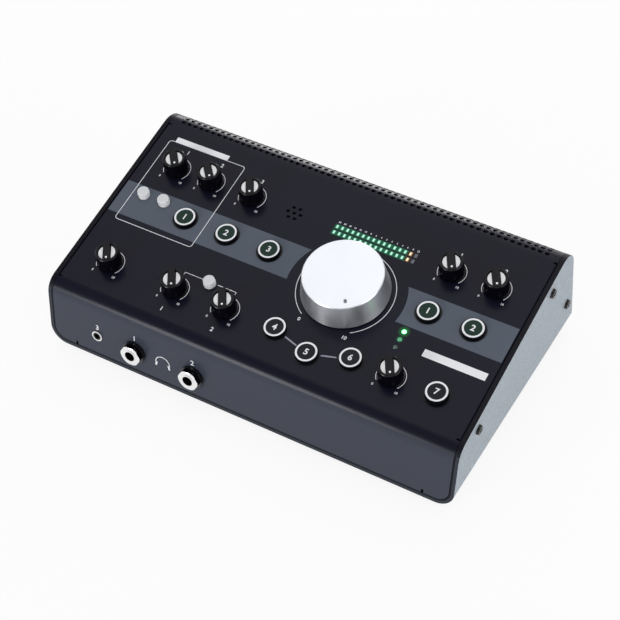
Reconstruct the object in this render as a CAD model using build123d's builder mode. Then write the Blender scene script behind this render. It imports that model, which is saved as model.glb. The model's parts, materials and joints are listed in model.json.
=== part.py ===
from build123d import *
from math import cos, degrees, radians, sin, tan
import os

# Studio monitor controller on a desk: a sheet steel shell with a sloping control panel,
# seated in a bent aluminium tray.  Millimetres, +Z up, -Y towards the user, +X to the
# user's right.  The origin is on the desk, under the middle of the overall box.

os.makedirs("parts", exist_ok=True)

# ---------------------------------------------------------------- case
base_depth = 182.3
front_height = 47.2  # underside of the tray to the front edge of the panel
panel_slope = 13.55  # degrees, rising to the back
front_lean = 4.4  # degrees, top of the front face leaning back
tray_thickness = 3.2
tray_bend_radius = 12.0
shell_thickness = 1.5
front_bend_radius = 11.5
rear_bend_radius = 17.5
seam_gap = 0.3
sheet_cut = 1.5 * shell_thickness  # depth of a cut that surely passes the sheet
foot_height = 3.0

side_flange_width = 14.0
flange_edge_radius = 1.2
relief_width = 1.6
relief_depth = 2.6
front_flange_gap = 17.0  # from each end of the flange to the side of the shell
front_flange_depth = 10.0

# ---------------------------------------------------------------- vents
vent_pitch = 4.7
vent_radius = 1.55
vent_rows = 5
vent_margin = 12.5  # from the side of the case to the middle of the first column
vent_first_angle = 16.5  # degrees round the rear bend from the panel

# ---------------------------------------------------------------- panel layout
# columns from the left side of the case to its right side: together they make its width
left_margin = 29.75
gain_pitch = 26.8
line_pitch = 31.55
source_pitch = 31.8
volume_pitch = 58.9
monitor_pitch = 54.1
monitor_spacing = 30.45
right_margin = 29.65
# sideways from a column
phantom_offset = 9.05
stereo_offset = 6.55
phones_1_offset = 9.1
phones_2_offset = 3.7
phones_source_offset = 9.4
control_spread = 26.5
status_offset = 7.2
# up the panel from its front edge
upper_dial_s = 113.0
select_row_s = 79.8
lower_dial_s = 29.9
volume_s = 73.5
control_row_s = 30.2
mute_s = 22.5
preamp_switch_s = 85.6
phones_source_s = 42.4
status_s = 55.4
status_pitch = 6.0

# x across from the middle of the case
left_columns = left_margin + gain_pitch + line_pitch + source_pitch
case_width = left_columns + volume_pitch + monitor_pitch + monitor_spacing + right_margin
right_side_x = case_width / 2
left_side_x = -case_width / 2
gain_1_x = left_side_x + left_margin
gain_2_x = gain_1_x + gain_pitch
source_2_x = gain_2_x + line_pitch
source_3_x = source_2_x + source_pitch
volume_x = source_3_x + volume_pitch
monitor_a_x = volume_x + monitor_pitch
monitor_b_x = monitor_a_x + monitor_spacing
phantom_x = gain_1_x - phantom_offset
stereo_x = gain_1_x + stereo_offset
phones_1_x = source_2_x - phones_1_offset
phones_2_x = source_3_x - phones_2_offset
phones_source_x = source_2_x + phones_source_offset
status_x = monitor_a_x - status_offset

dial_end = 150.0  # degrees either side of the back, how far a small dial turns
# place, and where the dial points as it rests, in degrees clockwise from the back
dials = {
    "gain_knob_1": (gain_1_x, upper_dial_s, 142.0),
    "gain_knob_2": (gain_2_x, upper_dial_s, 139.0),
    "line_trim_knob": (source_2_x, upper_dial_s, dial_end),
    "monitor_trim_knob_a": (monitor_a_x, upper_dial_s, dial_end),
    "monitor_trim_knob_b": (monitor_b_x, upper_dial_s, dial_end),
    "blend_knob": (gain_1_x, lower_dial_s, dial_end),
    "phones_knob_1": (phones_1_x, lower_dial_s, dial_end),
    "phones_knob_2": (phones_2_x, lower_dial_s, dial_end),
    "talkback_knob": (monitor_a_x, lower_dial_s, dial_end),
}
dial_points = [(x, s) for x, s, pointer in dials.values()]

# ---------------------------------------------------------------- boards
board_depth = 13.0  # panel surface to the top of the main board
board_thickness = 1.6
board_side_gap = 12.5  # from the side of the case to the main board
board_front_s = 8.0
board_rear_s = 134.0
jack_board_depth = 54.0  # panel surface to the top of the jack board
jack_board_left_gap = 10.5  # from the sides of the case to the jack board
jack_board_right_gap = 25.5
jack_board_front_s = 88.0
board_wall_gap = 2.0
phones_board_top_drop = 16.5  # down the front face from the panel edge
phones_board_floor_gap = 1.85  # above the floor of the tray
spacer_radius = 2.75
board_screw_radius = 1.25
board_screw_length = 6.0
board_screw_head_radius = 2.6
board_screw_head = 1.6
board_screw_clearance = 0.2
spacer_inset = 18.5  # from the sides of the case
spacer_front_s = 16.0
spacer_rear_s = 128.0
middle_spacer_front = 19.0  # to the right of the third source column
middle_spacer_rear = 30.0
deck_spacer_inset = 43.5
deck_spacer_s = [98.0, 127.0]

spacer_x = case_width / 2 - spacer_inset
panel_spacer_points = [(x, s) for x in (-spacer_x, spacer_x) for s in (spacer_front_s, spacer_rear_s)]
panel_spacer_points.append((source_3_x + middle_spacer_front, spacer_front_s))
panel_spacer_points.append((source_3_x + middle_spacer_rear, spacer_rear_s))
deck_spacer_x = case_width / 2 - deck_spacer_inset
deck_spacer_points = [(x, s) for x in (-deck_spacer_x, deck_spacer_x) for s in deck_spacer_s]

# ---------------------------------------------------------------- small dials
shaft_radius = 3.0
running_clearance = 0.05
shaft_flat = 1.0  # depth of the flat that turns the knob
shaft_panel_clearance = 0.5
pot_size = 12.0
pot_panel_gap = 4.0
pot_floor = 1.5
knob_gap = 0.8  # air between a knob and the panel
knob_base_radius = 8.5
knob_rim_radius = 7.6
knob_height = 12.0
knob_rim_chamfer = 0.35
knob_boss_radius = 5.2
knob_skirt_wall = 1.5
knob_cavity_depth = 7.0
knob_roof = 2.6
knob_bore_relief = 0.4
pocket_radius = 6.1
pocket_depth = 1.0
fin_width = 4.6
fin_low_reach = 6.3
fin_low_rise = 0.3
fin_high_reach = 7.2
fin_high_rise = 1.6
fin_root = 1.6
fin_edge_radius = 0.2

# ---------------------------------------------------------------- volume dial
volume_base_radius = 28.7
volume_top_radius = 25.9
volume_height = 18.4
volume_gap = 1.0
volume_edge_chamfer = 0.5
volume_wall = 2.6
volume_roof = 3.0
volume_boss_radius = 7.0
volume_boss_gap = 6.0  # the boss stops above the bush and its nut
volume_mark_reach = 20.4
volume_mark_angle = 148.0  # degrees clockwise from the back, as the knob rests
volume_mark_radius = 1.1
volume_mark_depth = 0.4
volume_pot_size = 16.0
bush_radius = 3.5
bush_hole_clearance = 0.2
bush_height = 4.5
volume_nut_flats = 10.0
volume_nut_height = 2.0

# ---------------------------------------------------------------- ring buttons
cap_radius = 7.2
cap_height = 2.5
cue_cap_height = 3.6
cap_travel = 1.2
cap_roof = 2.0
cap_wall = 1.2
cap_flange_radius = 8.4
cap_flange = 0.8
cap_edge_radius = 0.4
cap_stem_radius = 1.7
bezel_radius = 8.6
bezel_clearance = 0.25
bezel_rise = 0.3
bezel_flange_radius = 9.6
bezel_flange = 0.6
bezel_rest_gap = 0.2
switch_size = 12.0
switch_height = 4.0
stem_clearance = 0.08
stem_entry = 1.5
stem_rest = 0.5  # room left under a stem at full travel

# ---------------------------------------------------------------- white buttons
plunger_radius = 3.8
plunger_collar_radius = 4.1
plunger_collar = 1.9
plunger_height = 4.4
plunger_edge_radius = 0.4
plunger_travel = 2.5
plunger_hole_clearance = 0.3
plunger_skirt = 2.0
plunger_stem_radius = 1.6
latch_size = 8.5
latch_height = 7.5

# ---------------------------------------------------------------- lamps and microphone
meter_columns = 16
meter_pitch = 3.75
meter_row_pitch = 4.65
meter_s = 112.4
meter_lens_width = 1.9
meter_lens_length = 2.9
lens_clearance = 0.1
lens_rise = 0.1
status_lens_radius = 1.5
status_lens_rise = 0.5
mic_hole_radius = 1.3
mic_hole_pitch = 4.6
mic_holes = 6  # round the middle one
mic_margin = 0.4  # of the capsule outside the holes
mic_height = 4.0  # of the capsule above its boot
mic_boot_wall = 0.7
mic_panel_gap = 0.5

# ---------------------------------------------------------------- front sockets
socket_row_drop = 28.5  # down the front face from the panel edge
aux_socket_inset = 37.5  # from the left side of the case
first_phones_pitch = 28.7
phones_socket_pitch = 43.5
plug_radius = 3.2  # bore for a 6.35 mm plug
phones_body = 14.0
phones_body_length = 20.0
socket_floor = 2.0
collar_radius = 8.0
collar_height = 2.6
thread_radius = 4.6
thread_clearance = 0.1
phones_thread_height = 6.0
phones_nut_flats = 13.6
phones_nut_height = 3.2
nut_crown = 0.7  # height over which a nut's corners are turned down
nut_crown_angle = 60.0  # degrees from the nut's axis
aux_plug_radius = 1.8
aux_body = 8.0
aux_bore_depth = 15.0
aux_thread_radius = 2.9
aux_ring_radius = 3.8
aux_ring_height = 1.0
phones_board_margin = 9.0

# ---------------------------------------------------------------- rear sockets
line_socket_x = [-56.0, -36.0, -8.0, 12.0, 40.0, 60.0, 82.0]  # across from the middle of the case
line_row_depth = 45.0  # down the rear face from the panel plane
line_body_width = 15.5
line_body_top = 8.5
line_body_length = 22.0
line_thread_height = 4.2
line_nut_flats = 13.0
line_nut_height = 2.2
combo_inset = 27.5  # from the left side of the case
combo_pitch = 32.0
combo_width = 27.0
combo_height = 31.0
combo_body_length = 24.0
combo_nose_radius = 11.6
combo_nose_rise = 1.2
combo_hole_clearance = 0.2
combo_socket_radius = 9.8
combo_socket_depth = 14.0
combo_insert_radius = 7.6
combo_insert_recess = 6.0
combo_bore_depth = 14.0
combo_pin_circle = 5.4
combo_pin_radius = 1.0
combo_pin_depth = 7.0
combo_screw_x = 9.6  # from the middle of the socket, at two opposite corners
combo_screw_y = 12.2
usb_pitch = 13.5
usb_width = 12.0
usb_height = 10.8
usb_length = 16.0
usb_rise = 0.8
usb_mouth_width = 9.0
usb_mouth_height = 8.2
usb_mouth_depth = 10.0
usb_tongue_width = 5.6
usb_tongue_height = 3.2
usb_tongue_recess = 4.8
dc_pitch = 15.5
dc_width = 9.0
dc_height = 11.0
dc_length = 14.0
dc_nose_radius = 4.4
dc_nose_rise = 0.6
dc_bore_radius = 2.75
dc_bore_depth = 10.0
dc_pin_radius = 1.0
power_inset = 17.5  # from the right side of the case
power_width = 13.0
power_height = 19.0
power_length = 15.0
power_rim = 1.2
power_rim_height = 1.6
power_wall = 1.2
rocker_clearance = 0.35
rocker_tilt = 9.0  # degrees either side of level
rocker_pin_radius = 1.2
rocker_pin_drop = 2.4
rocker_pin_inset = 0.3
power_well = 8.0
# section of the rocker, from the middle of its pin
rocker_half_length = 7.2
rocker_end_rise = 5.0
rocker_waist_rise = 3.6
rocker_skirt = 1.4
rocker_hub = 2.2
rocker_hub_half = 3.0
cutout_clearance = 0.2

# ---------------------------------------------------------------- case screws and feet
case_screw_radius = 1.5
case_screw_length = 7.0
case_screw_head_radius = 3.4
case_screw_head = 1.9
case_screw_clearance = 0.2
recess_reach = 0.55  # half length of the cross recess, as a share of the head
recess_width = 0.9
recess_depth = 1.0
screw_head_taper = 14.0
side_screw_s = [23.7, 129.5]
side_screw_depth = 9.2
rear_screw_depth = 52.7
rear_screw_inset = 10.25
foot_radius = 7.0
foot_taper = 12.0
foot_stem_radius = 2.4
foot_stem_clearance = 0.1
foot_inset_x = 22.0
foot_inset_y = 20.0

# ---------------------------------------------------------------- case geometry
slope = radians(panel_slope)
lean = radians(front_lean)
down_front = front_height / cos(lean)
socket_height = (down_front - socket_row_drop) * cos(lean)
front_reach = phones_thread_height * cos(lean) + (thread_radius - socket_height / cos(lean)) * sin(lean)
front_foot = (-base_depth / 2 + front_reach / 2, foot_height)
rear_foot = (front_foot[0] + base_depth, foot_height)
front_edge = (front_foot[0] + front_height * tan(lean), foot_height + front_height)
to_rear = (rear_foot[0] - front_edge[0], rear_foot[1] - front_edge[1])
panel_length = to_rear[0] * cos(slope) + to_rear[1] * sin(slope)
rear_face_height = to_rear[0] * sin(slope) - to_rear[1] * cos(slope)
rear_edge = (front_edge[0] + panel_length * cos(slope), front_edge[1] + panel_length * sin(slope))
front_corner_angle = radians(90 - panel_slope - front_lean)
straight_front = front_bend_radius * tan(front_corner_angle / 2)
straight_rear = panel_length - rear_bend_radius
straight_length = straight_rear - straight_front
straight_middle = (straight_rear + straight_front) / 2
shell_half = case_width / 2 - tray_thickness - seam_gap
front_flange_half = shell_half - front_flange_gap
shell_floor = foot_height + tray_thickness + seam_gap

panel = Plane(
    origin=(0, front_edge[0], front_edge[1]),
    x_dir=(1, 0, 0),
    z_dir=(0, -sin(slope), cos(slope)),
)
front_face = Plane(
    origin=(0, front_edge[0], front_edge[1]),
    x_dir=(1, 0, 0),
    z_dir=(0, -cos(lean), sin(lean)),
)
rear_face = Plane(
    origin=(0, rear_edge[0], rear_edge[1]),
    x_dir=(-1, 0, 0),
    z_dir=(0, cos(slope), sin(slope)),
)


def at(plane, x, y):
    """The same plane, moved so that its origin is at x, y on it."""
    return Plane(origin=plane.from_local_coords((x, y, 0)), x_dir=plane.x_dir, z_dir=plane.z_dir)


def upright(plane):
    """A plane through the normal of another: its Y runs along that normal."""
    return Plane(origin=plane.origin, x_dir=plane.x_dir, z_dir=plane.y_dir * -1)


def turned(plane, angle):
    """The same plane, turned clockwise about its normal by an angle in degrees."""
    turn = radians(angle)
    new_x = plane.x_dir * cos(turn) - plane.y_dir * sin(turn)
    return Plane(origin=plane.origin, x_dir=new_x, z_dir=plane.z_dir)


def normal_axis(plane):
    return Axis(plane.origin, plane.z_dir)


def round_case_bends(outline):
    """Rounds the front and rear bends of the case in its side outline."""
    fillet(outline.vertices().sort_by(Axis.Y)[-1], rear_bend_radius)
    fillet(outline.vertices().sort_by(Axis.X)[1], front_bend_radius)


def add_discs(seat, points, radius, height, mode=Mode.ADD, taper=0.0):
    """Round posts, or holes, of one height that stand at points of a plane."""
    with BuildSketch(seat) as discs:
        with Locations(*points):
            Circle(radius)
    extrude(discs.sketch, amount=height, taper=taper, mode=mode)


def add_blocks(seat, points, width, length, height, mode=Mode.ADD):
    """Square-cornered posts, or holes, of one height that stand at points of a plane."""
    with BuildSketch(seat) as blocks:
        with Locations(*points):
            Rectangle(width, length)
    extrude(blocks.sketch, amount=height, mode=mode)


def add_screws(seat, points, shaft_radius, length, head_radius, head_height):
    """Screws whose heads stand on a plane and whose shafts go down through it."""
    add_discs(seat, points, head_radius, head_height, taper=screw_head_taper)
    add_discs(seat, points, shaft_radius, -length)
    head_top = seat.offset(head_height)
    reach = 2 * recess_reach * head_radius
    add_blocks(head_top, points, reach, recess_width, -recess_depth, Mode.SUBTRACT)
    add_blocks(head_top, points, recess_width, reach, -recess_depth, Mode.SUBTRACT)


def add_nuts(seat, points, flats, bore_radius, height):
    """Hexagon nuts that stand on a plane, their outer corners turned down to a cone."""
    corner_radius = flats / 2 / cos(radians(30))
    add_discs(seat, points, corner_radius, height - nut_crown)
    add_discs(seat.offset(height - nut_crown), points, corner_radius, nut_crown, taper=nut_crown_angle)
    with BuildSketch(seat) as hexagons:
        with Locations(*points):
            RegularPolygon(flats / 2, 6, major_radius=False)
            Circle(bore_radius, mode=Mode.SUBTRACT)
    extrude(hexagons.sketch, amount=height, mode=Mode.INTERSECT)


def turned_over(plane):
    """The same plane seen from its other side: its x stays and its y runs the other way."""
    return Plane(origin=plane.origin, x_dir=plane.x_dir, z_dir=plane.z_dir * -1)


def side_screw_points():
    """Y, Z of the side screws, the same on both sides."""
    on_panel = [(0, s, -side_screw_depth) for s in side_screw_s]
    on_panel.append((0, panel_length - rear_screw_inset, -rear_screw_depth))
    places = [panel.from_local_coords(point) for point in on_panel]
    return [(place.Y, place.Z) for place in places]


# ---------------------------------------------------------------- chassis tray
with BuildPart() as chassis_tray:
    with BuildSketch(Plane.XZ) as tray_section:
        with Locations((0, foot_height)):
            Rectangle(case_width, 2 * front_height + base_depth, align=(Align.CENTER, Align.MIN))
        fillet(tray_section.vertices().group_by(Axis.Y)[0], tray_bend_radius)
        offset(amount=-tray_thickness, mode=Mode.SUBTRACT)
    extrude(amount=base_depth, both=True)
    with BuildSketch(Plane.YZ) as closed_case:
        with BuildLine():
            Polyline(front_foot, front_edge, rear_edge, rear_foot, close=True)
        make_face()
        round_case_bends(closed_case)
    extrude(amount=case_width, both=True, mode=Mode.INTERSECT)
    with BuildSketch(Plane.YZ):
        with Locations(*side_screw_points()):
            Circle(case_screw_radius + case_screw_clearance)
    extrude(amount=case_width, both=True, mode=Mode.SUBTRACT)
    with BuildSketch(Plane.XY.offset(foot_height)):
        with Locations((0, (front_foot[0] + rear_foot[0]) / 2)):
            with GridLocations(case_width - 2 * foot_inset_x, base_depth - 2 * foot_inset_y, 2, 2):
                Circle(foot_stem_radius + foot_stem_clearance)
    extrude(amount=tray_thickness, mode=Mode.SUBTRACT)
chassis_tray.part.label = "chassis_tray"
export_step(chassis_tray.part, "parts/chassis_tray.step")

# ---------------------------------------------------------------- top shell
control_buttons = {
    "source_button_1": (gain_2_x, select_row_s, cap_height),
    "source_button_2": (source_2_x, select_row_s, cap_height),
    "source_button_3": (source_3_x, select_row_s, cap_height),
    "monitor_button_a": (monitor_a_x, select_row_s, cap_height),
    "monitor_button_b": (monitor_b_x, select_row_s, cap_height),
    "mono_button": (volume_x - control_spread, control_row_s, cap_height),
    "mute_button": (volume_x, mute_s, cap_height),
    "dim_button": (volume_x + control_spread, control_row_s, cap_height),
    "cue_button": (monitor_b_x, control_row_s, cue_cap_height),
}
latching_buttons = {
    "phantom_button": (phantom_x, preamp_switch_s),
    "stereo_button": (stereo_x, preamp_switch_s),
    "phones_source_button": (phones_source_x, phones_source_s),
}
button_points = [(x, s) for x, s, rise in control_buttons.values()]
aux_socket_x = left_side_x + aux_socket_inset
first_phones_x = aux_socket_x + first_phones_pitch
phones_socket_x = [first_phones_x, first_phones_x + phones_socket_pitch]
combo_x = [left_side_x + combo_inset, left_side_x + combo_inset + combo_pitch]
power_x = right_side_x - power_inset
dc_x = power_x - dc_pitch
usb_x = dc_x - usb_pitch
combo_depth = jack_board_depth - combo_height / 2
usb_depth = jack_board_depth - usb_height / 2
dc_depth = jack_board_depth - dc_height / 2
combo_screw_points = []
for combo_middle in combo_x:
    for turn in (-1, 1):
        combo_screw_points.append((turn * combo_screw_x - combo_middle, turn * combo_screw_y - combo_depth))

with BuildPart() as top_shell:
    with BuildSketch(Plane.YZ) as sheet:
        with BuildLine():
            Polyline(front_foot, front_edge, rear_edge, rear_foot, close=True)
        make_face()
        round_case_bends(sheet)
        offset(amount=-shell_thickness, mode=Mode.SUBTRACT)
    extrude(amount=case_width / 2, both=True)
    with BuildSketch(Plane.XZ) as inside_tray:
        with Locations((0, shell_floor)):
            Rectangle(2 * shell_half, 2 * front_height + base_depth, align=(Align.CENTER, Align.MIN))
        corner_radius = tray_bend_radius - tray_thickness - seam_gap
        fillet(inside_tray.vertices().group_by(Axis.Y)[0], corner_radius)
    extrude(amount=base_depth, both=True, mode=Mode.INTERSECT)
    # flanges turned down along the sides of the panel and in along the rear face
    flange_x = shell_half - shell_thickness / 2
    with BuildSketch(panel.offset(-shell_thickness)):
        with Locations((-flange_x, straight_middle), (flange_x, straight_middle)):
            Rectangle(shell_thickness, straight_length)
    extrude(amount=-(side_flange_width - shell_thickness))
    rear_flange_end = rear_face_height - tray_bend_radius - side_flange_width * sin(slope)
    rear_flange_length = rear_flange_end - rear_bend_radius
    rear_flange_middle = -rear_bend_radius - rear_flange_length / 2
    with BuildSketch(rear_face.offset(-shell_thickness)):
        with Locations((-flange_x, rear_flange_middle), (flange_x, rear_flange_middle)):
            Rectangle(shell_thickness, rear_flange_length)
    extrude(amount=-(side_flange_width - shell_thickness))
    # flange turned in along the foot of the front face
    with BuildSketch(Plane.XY.offset(shell_floor)):
        with Locations((0, front_foot[0] + shell_thickness)):
            Rectangle(2 * front_flange_half, front_flange_depth, align=(Align.CENTER, Align.MIN))
    extrude(amount=shell_thickness)
    # relief notches at the ends of the folded edges
    with BuildSketch(panel):
        for edge_x in (-shell_half, shell_half):
            with Locations((edge_x, straight_front), (edge_x, straight_rear)):
                Rectangle(2 * relief_depth, relief_width)
    extrude(amount=-side_flange_width, mode=Mode.SUBTRACT)
    with BuildSketch(Plane.XZ.offset(-front_foot[0])):
        with Locations((-front_flange_half, shell_floor), (front_flange_half, shell_floor)):
            Rectangle(relief_width, 2 * relief_depth)
    extrude(amount=-front_flange_depth - 2 * shell_thickness, mode=Mode.SUBTRACT)
    # the folded edges beside the panel are rounded
    with BuildSketch(upright(at(panel, 0, straight_front))):
        for side in (-1, 1):
            with Locations((side * shell_half, 0)):
                Rectangle(2 * flange_edge_radius, 2 * flange_edge_radius)
            with Locations((side * (shell_half - flange_edge_radius), -flange_edge_radius)):
                Circle(flange_edge_radius, mode=Mode.SUBTRACT)
    extrude(amount=-straight_length, mode=Mode.SUBTRACT)
    # threaded holes for the side screws
    with BuildSketch(Plane.YZ):
        with Locations(*side_screw_points()):
            Circle(case_screw_radius)
    extrude(amount=case_width, both=True, mode=Mode.SUBTRACT)
    # rows of vent holes round the rear bend
    vent_step = degrees(vent_pitch / rear_bend_radius)
    vent_columns = 1 + int((case_width - 2 * vent_margin) / vent_pitch)
    bend_centre = panel.from_local_coords((0, straight_rear, -rear_bend_radius))
    for row in range(vent_rows):
        turn = radians(vent_first_angle + row * vent_step)
        outward = panel.z_dir * cos(turn) + panel.y_dir * sin(turn)
        hole_face = Plane(
            origin=bend_centre + outward * rear_bend_radius,
            x_dir=(1, 0, 0),
            z_dir=outward,
        )
        with BuildSketch(hole_face):
            with GridLocations(vent_pitch, vent_pitch, vent_columns, 1):
                Circle(vent_radius)
        extrude(amount=-sheet_cut, mode=Mode.SUBTRACT)
    # openings in the control panel
    with BuildSketch(panel):
        with Locations(*dial_points):
            Circle(shaft_radius + shaft_panel_clearance)
        with Locations((volume_x, volume_s)):
            Circle(bush_radius + bush_hole_clearance)
        with Locations(*button_points):
            Circle(bezel_radius)
        with Locations(*latching_buttons.values()):
            Circle(plunger_collar_radius + plunger_hole_clearance)
        with Locations((volume_x, meter_s)):
            with GridLocations(meter_pitch, meter_row_pitch, meter_columns, 2):
                Rectangle(meter_lens_width + 2 * lens_clearance, meter_lens_length + 2 * lens_clearance)
        with Locations((status_x, status_s)):
            with GridLocations(status_pitch, status_pitch, 1, 3):
                Circle(status_lens_radius + lens_clearance)
        with Locations((source_3_x, upper_dial_s)):
            Circle(mic_hole_radius)
            with PolarLocations(mic_hole_pitch, mic_holes):
                Circle(mic_hole_radius)
    extrude(amount=-sheet_cut, mode=Mode.SUBTRACT)
    # openings in the front face
    with BuildSketch(front_face):
        with Locations(*[(x, -socket_row_drop) for x in phones_socket_x]):
            Circle(thread_radius + thread_clearance)
        with Locations((aux_socket_x, -socket_row_drop)):
            Circle(aux_thread_radius + thread_clearance)
    extrude(amount=-sheet_cut, mode=Mode.SUBTRACT)
    # openings in the rear face, whose x runs the other way
    with BuildSketch(rear_face):
        with Locations(*[(-x, -line_row_depth) for x in line_socket_x]):
            Circle(thread_radius + thread_clearance)
        with Locations(*[(-x, -combo_depth) for x in combo_x]):
            Circle(combo_nose_radius + combo_hole_clearance)
        with Locations(*combo_screw_points):
            Circle(case_screw_radius + case_screw_clearance)
        with Locations((-usb_x, -usb_depth)):
            Rectangle(usb_width + 2 * cutout_clearance, usb_height + 2 * cutout_clearance)
        with Locations((-dc_x, -dc_depth)):
            Circle(dc_nose_radius + cutout_clearance)
        with Locations((-power_x, -line_row_depth)):
            Rectangle(power_width + 2 * cutout_clearance, power_height + 2 * cutout_clearance)
    extrude(amount=-sheet_cut, mode=Mode.SUBTRACT)
top_shell.part.label = "top_shell"
export_step(top_shell.part, "parts/top_shell.step")

# ---------------------------------------------------------------- boards
board_foot_depth = board_depth + board_thickness
with BuildPart() as main_board:
    with BuildSketch(panel.offset(-board_depth)):
        with Locations((0, (board_front_s + board_rear_s) / 2)):
            Rectangle(case_width - 2 * board_side_gap, board_rear_s - board_front_s)
        with Locations(*panel_spacer_points, *deck_spacer_points):
            Circle(board_screw_radius + board_screw_clearance, mode=Mode.SUBTRACT)
    extrude(amount=-board_thickness)
main_board.part.label = "main_board"
export_step(main_board.part, "parts/main_board.step")

jack_board_rear_s = panel_length - shell_thickness - board_wall_gap
with BuildPart() as jack_board:
    with BuildSketch(panel.offset(-jack_board_depth)):
        with Locations((left_side_x + jack_board_left_gap, jack_board_front_s)):
            Rectangle(
                case_width - jack_board_left_gap - jack_board_right_gap,
                jack_board_rear_s - jack_board_front_s,
                align=(Align.MIN, Align.MIN),
            )
        with Locations(*deck_spacer_points):
            Circle(board_screw_radius + board_screw_clearance, mode=Mode.SUBTRACT)
    extrude(amount=-board_thickness)
jack_board.part.label = "jack_board"
export_step(jack_board.part, "parts/jack_board.step")

phones_board_left = aux_socket_x - phones_board_margin
phones_board_right = phones_socket_x[-1] + phones_board_margin
phones_board_back = shell_thickness + phones_body_length + board_thickness
phones_board_rise = front_height - tray_thickness - phones_board_floor_gap
phones_board_end = phones_board_rise / cos(lean) - phones_board_back * tan(lean)
with BuildPart() as headphone_board:
    with BuildSketch(front_face.offset(-shell_thickness - phones_body_length)):
        with Locations((phones_board_left, -phones_board_top_drop)):
            Rectangle(
                phones_board_right - phones_board_left,
                phones_board_end - phones_board_top_drop,
                align=(Align.MIN, Align.MAX),
            )
    extrude(amount=-board_thickness)
headphone_board.part.label = "headphone_board"
export_step(headphone_board.part, "parts/headphone_board.step")

# short spacers hang the main board from the panel, long ones the jack board from the main board
panel_spacer_length = board_depth - shell_thickness
deck_spacer_length = jack_board_depth - board_foot_depth
main_board_foot = panel.offset(-board_foot_depth)
with BuildPart() as board_spacers:
    add_discs(panel.offset(-shell_thickness), panel_spacer_points, spacer_radius, -panel_spacer_length)
    add_discs(main_board_foot, deck_spacer_points, spacer_radius, -deck_spacer_length)
    all_points = panel_spacer_points + deck_spacer_points
    add_discs(panel, all_points, board_screw_radius, -jack_board_depth, Mode.SUBTRACT)
board_spacers.part.label = "board_spacers"
export_step(board_spacers.part, "parts/board_spacers.step")

board_screw = (board_screw_radius, board_screw_length, board_screw_head_radius, board_screw_head)
with BuildPart() as board_screws:
    under_panel = [(x, -s) for x, s in panel_spacer_points]
    under_deck = [(x, -s) for x, s in deck_spacer_points]
    add_screws(turned_over(main_board_foot), under_panel, *board_screw)
    add_screws(panel.offset(-board_depth), deck_spacer_points, *board_screw)
    jack_board_foot = panel.offset(-jack_board_depth - board_thickness)
    add_screws(turned_over(jack_board_foot), under_deck, *board_screw)
board_screws.part.label = "board_screws"
export_step(board_screws.part, "parts/board_screws.step")

# ---------------------------------------------------------------- what stands on the main board
board_top = panel.offset(-board_depth)
volume_point = (volume_x, volume_s)
with BuildPart() as panel_pots:
    add_blocks(board_top, dial_points, pot_size, pot_size, board_depth - pot_panel_gap)
    add_blocks(board_top, [volume_point], volume_pot_size, volume_pot_size, panel_spacer_length)
    add_discs(board_top, [volume_point], bush_radius, board_depth + bush_height)
    pot_bores = [volume_point, *dial_points]
    bore_length = board_depth + bush_height - pot_floor
    add_discs(
        board_top.offset(pot_floor),
        pot_bores,
        shaft_radius + running_clearance,
        bore_length,
        Mode.SUBTRACT,
    )
panel_pots.part.label = "panel_pots"
export_step(panel_pots.part, "parts/panel_pots.step")

with BuildPart() as volume_pot_nut:
    add_nuts(panel, [volume_point], volume_nut_flats, bush_radius, volume_nut_height)
volume_pot_nut.part.label = "volume_pot_nut"
export_step(volume_pot_nut.part, "parts/volume_pot_nut.step")

latch_points = list(latching_buttons.values())
with BuildPart() as panel_switches:
    add_blocks(board_top, button_points, switch_size, switch_size, switch_height)
    add_blocks(board_top, latch_points, latch_size, latch_size, latch_height)
    add_discs(
        board_top.offset(switch_height),
        button_points,
        cap_stem_radius + stem_clearance,
        -(stem_entry + cap_travel + stem_rest),
        Mode.SUBTRACT,
    )
    add_discs(
        board_top.offset(latch_height),
        latch_points,
        plunger_stem_radius + stem_clearance,
        -(stem_entry + plunger_travel + stem_rest),
        Mode.SUBTRACT,
    )
panel_switches.part.label = "panel_switches"
export_step(panel_switches.part, "parts/panel_switches.step")

with BuildPart() as meter_lenses:
    with BuildSketch(board_top):
        with Locations((volume_x, meter_s)):
            with GridLocations(meter_pitch, meter_row_pitch, meter_columns, 2):
                Rectangle(meter_lens_width, meter_lens_length)
    extrude(amount=board_depth + lens_rise)
meter_lenses.part.label = "meter_lenses"
export_step(meter_lenses.part, "parts/meter_lenses.step")

with BuildPart() as status_lenses:
    with BuildSketch(board_top):
        with Locations((status_x, status_s)):
            with GridLocations(status_pitch, status_pitch, 1, 3):
                Circle(status_lens_radius)
    extrude(amount=board_depth + status_lens_rise)
    chamfer(status_lenses.edges().group_by(normal_axis(panel))[-1], status_lens_rise)
status_lenses.part.label = "status_lenses"
export_step(status_lenses.part, "parts/status_lenses.step")

with BuildPart() as talkback_mic:
    mic_point = [(source_3_x, upper_dial_s)]
    mic_radius = mic_hole_pitch + mic_hole_radius + mic_margin
    add_discs(board_top, mic_point, mic_radius + mic_boot_wall, panel_spacer_length - mic_height)
    add_discs(board_top, mic_point, mic_radius, panel_spacer_length - mic_panel_gap)
talkback_mic.part.label = "talkback_mic"
export_step(talkback_mic.part, "parts/talkback_mic.step")

# collars pressed into the panel, each with a flange behind it
with BuildPart() as button_bezels:
    bezel_length = bezel_rise + shell_thickness
    add_discs(panel.offset(bezel_rise), button_points, bezel_radius, -bezel_length)
    add_discs(panel.offset(-shell_thickness), button_points, bezel_flange_radius, -bezel_flange)
    add_discs(
        panel.offset(bezel_rise),
        button_points,
        cap_radius + bezel_clearance,
        -(bezel_length + bezel_flange),
        Mode.SUBTRACT,
    )
button_bezels.part.label = "button_bezels"
export_step(button_bezels.part, "parts/button_bezels.step")

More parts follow.
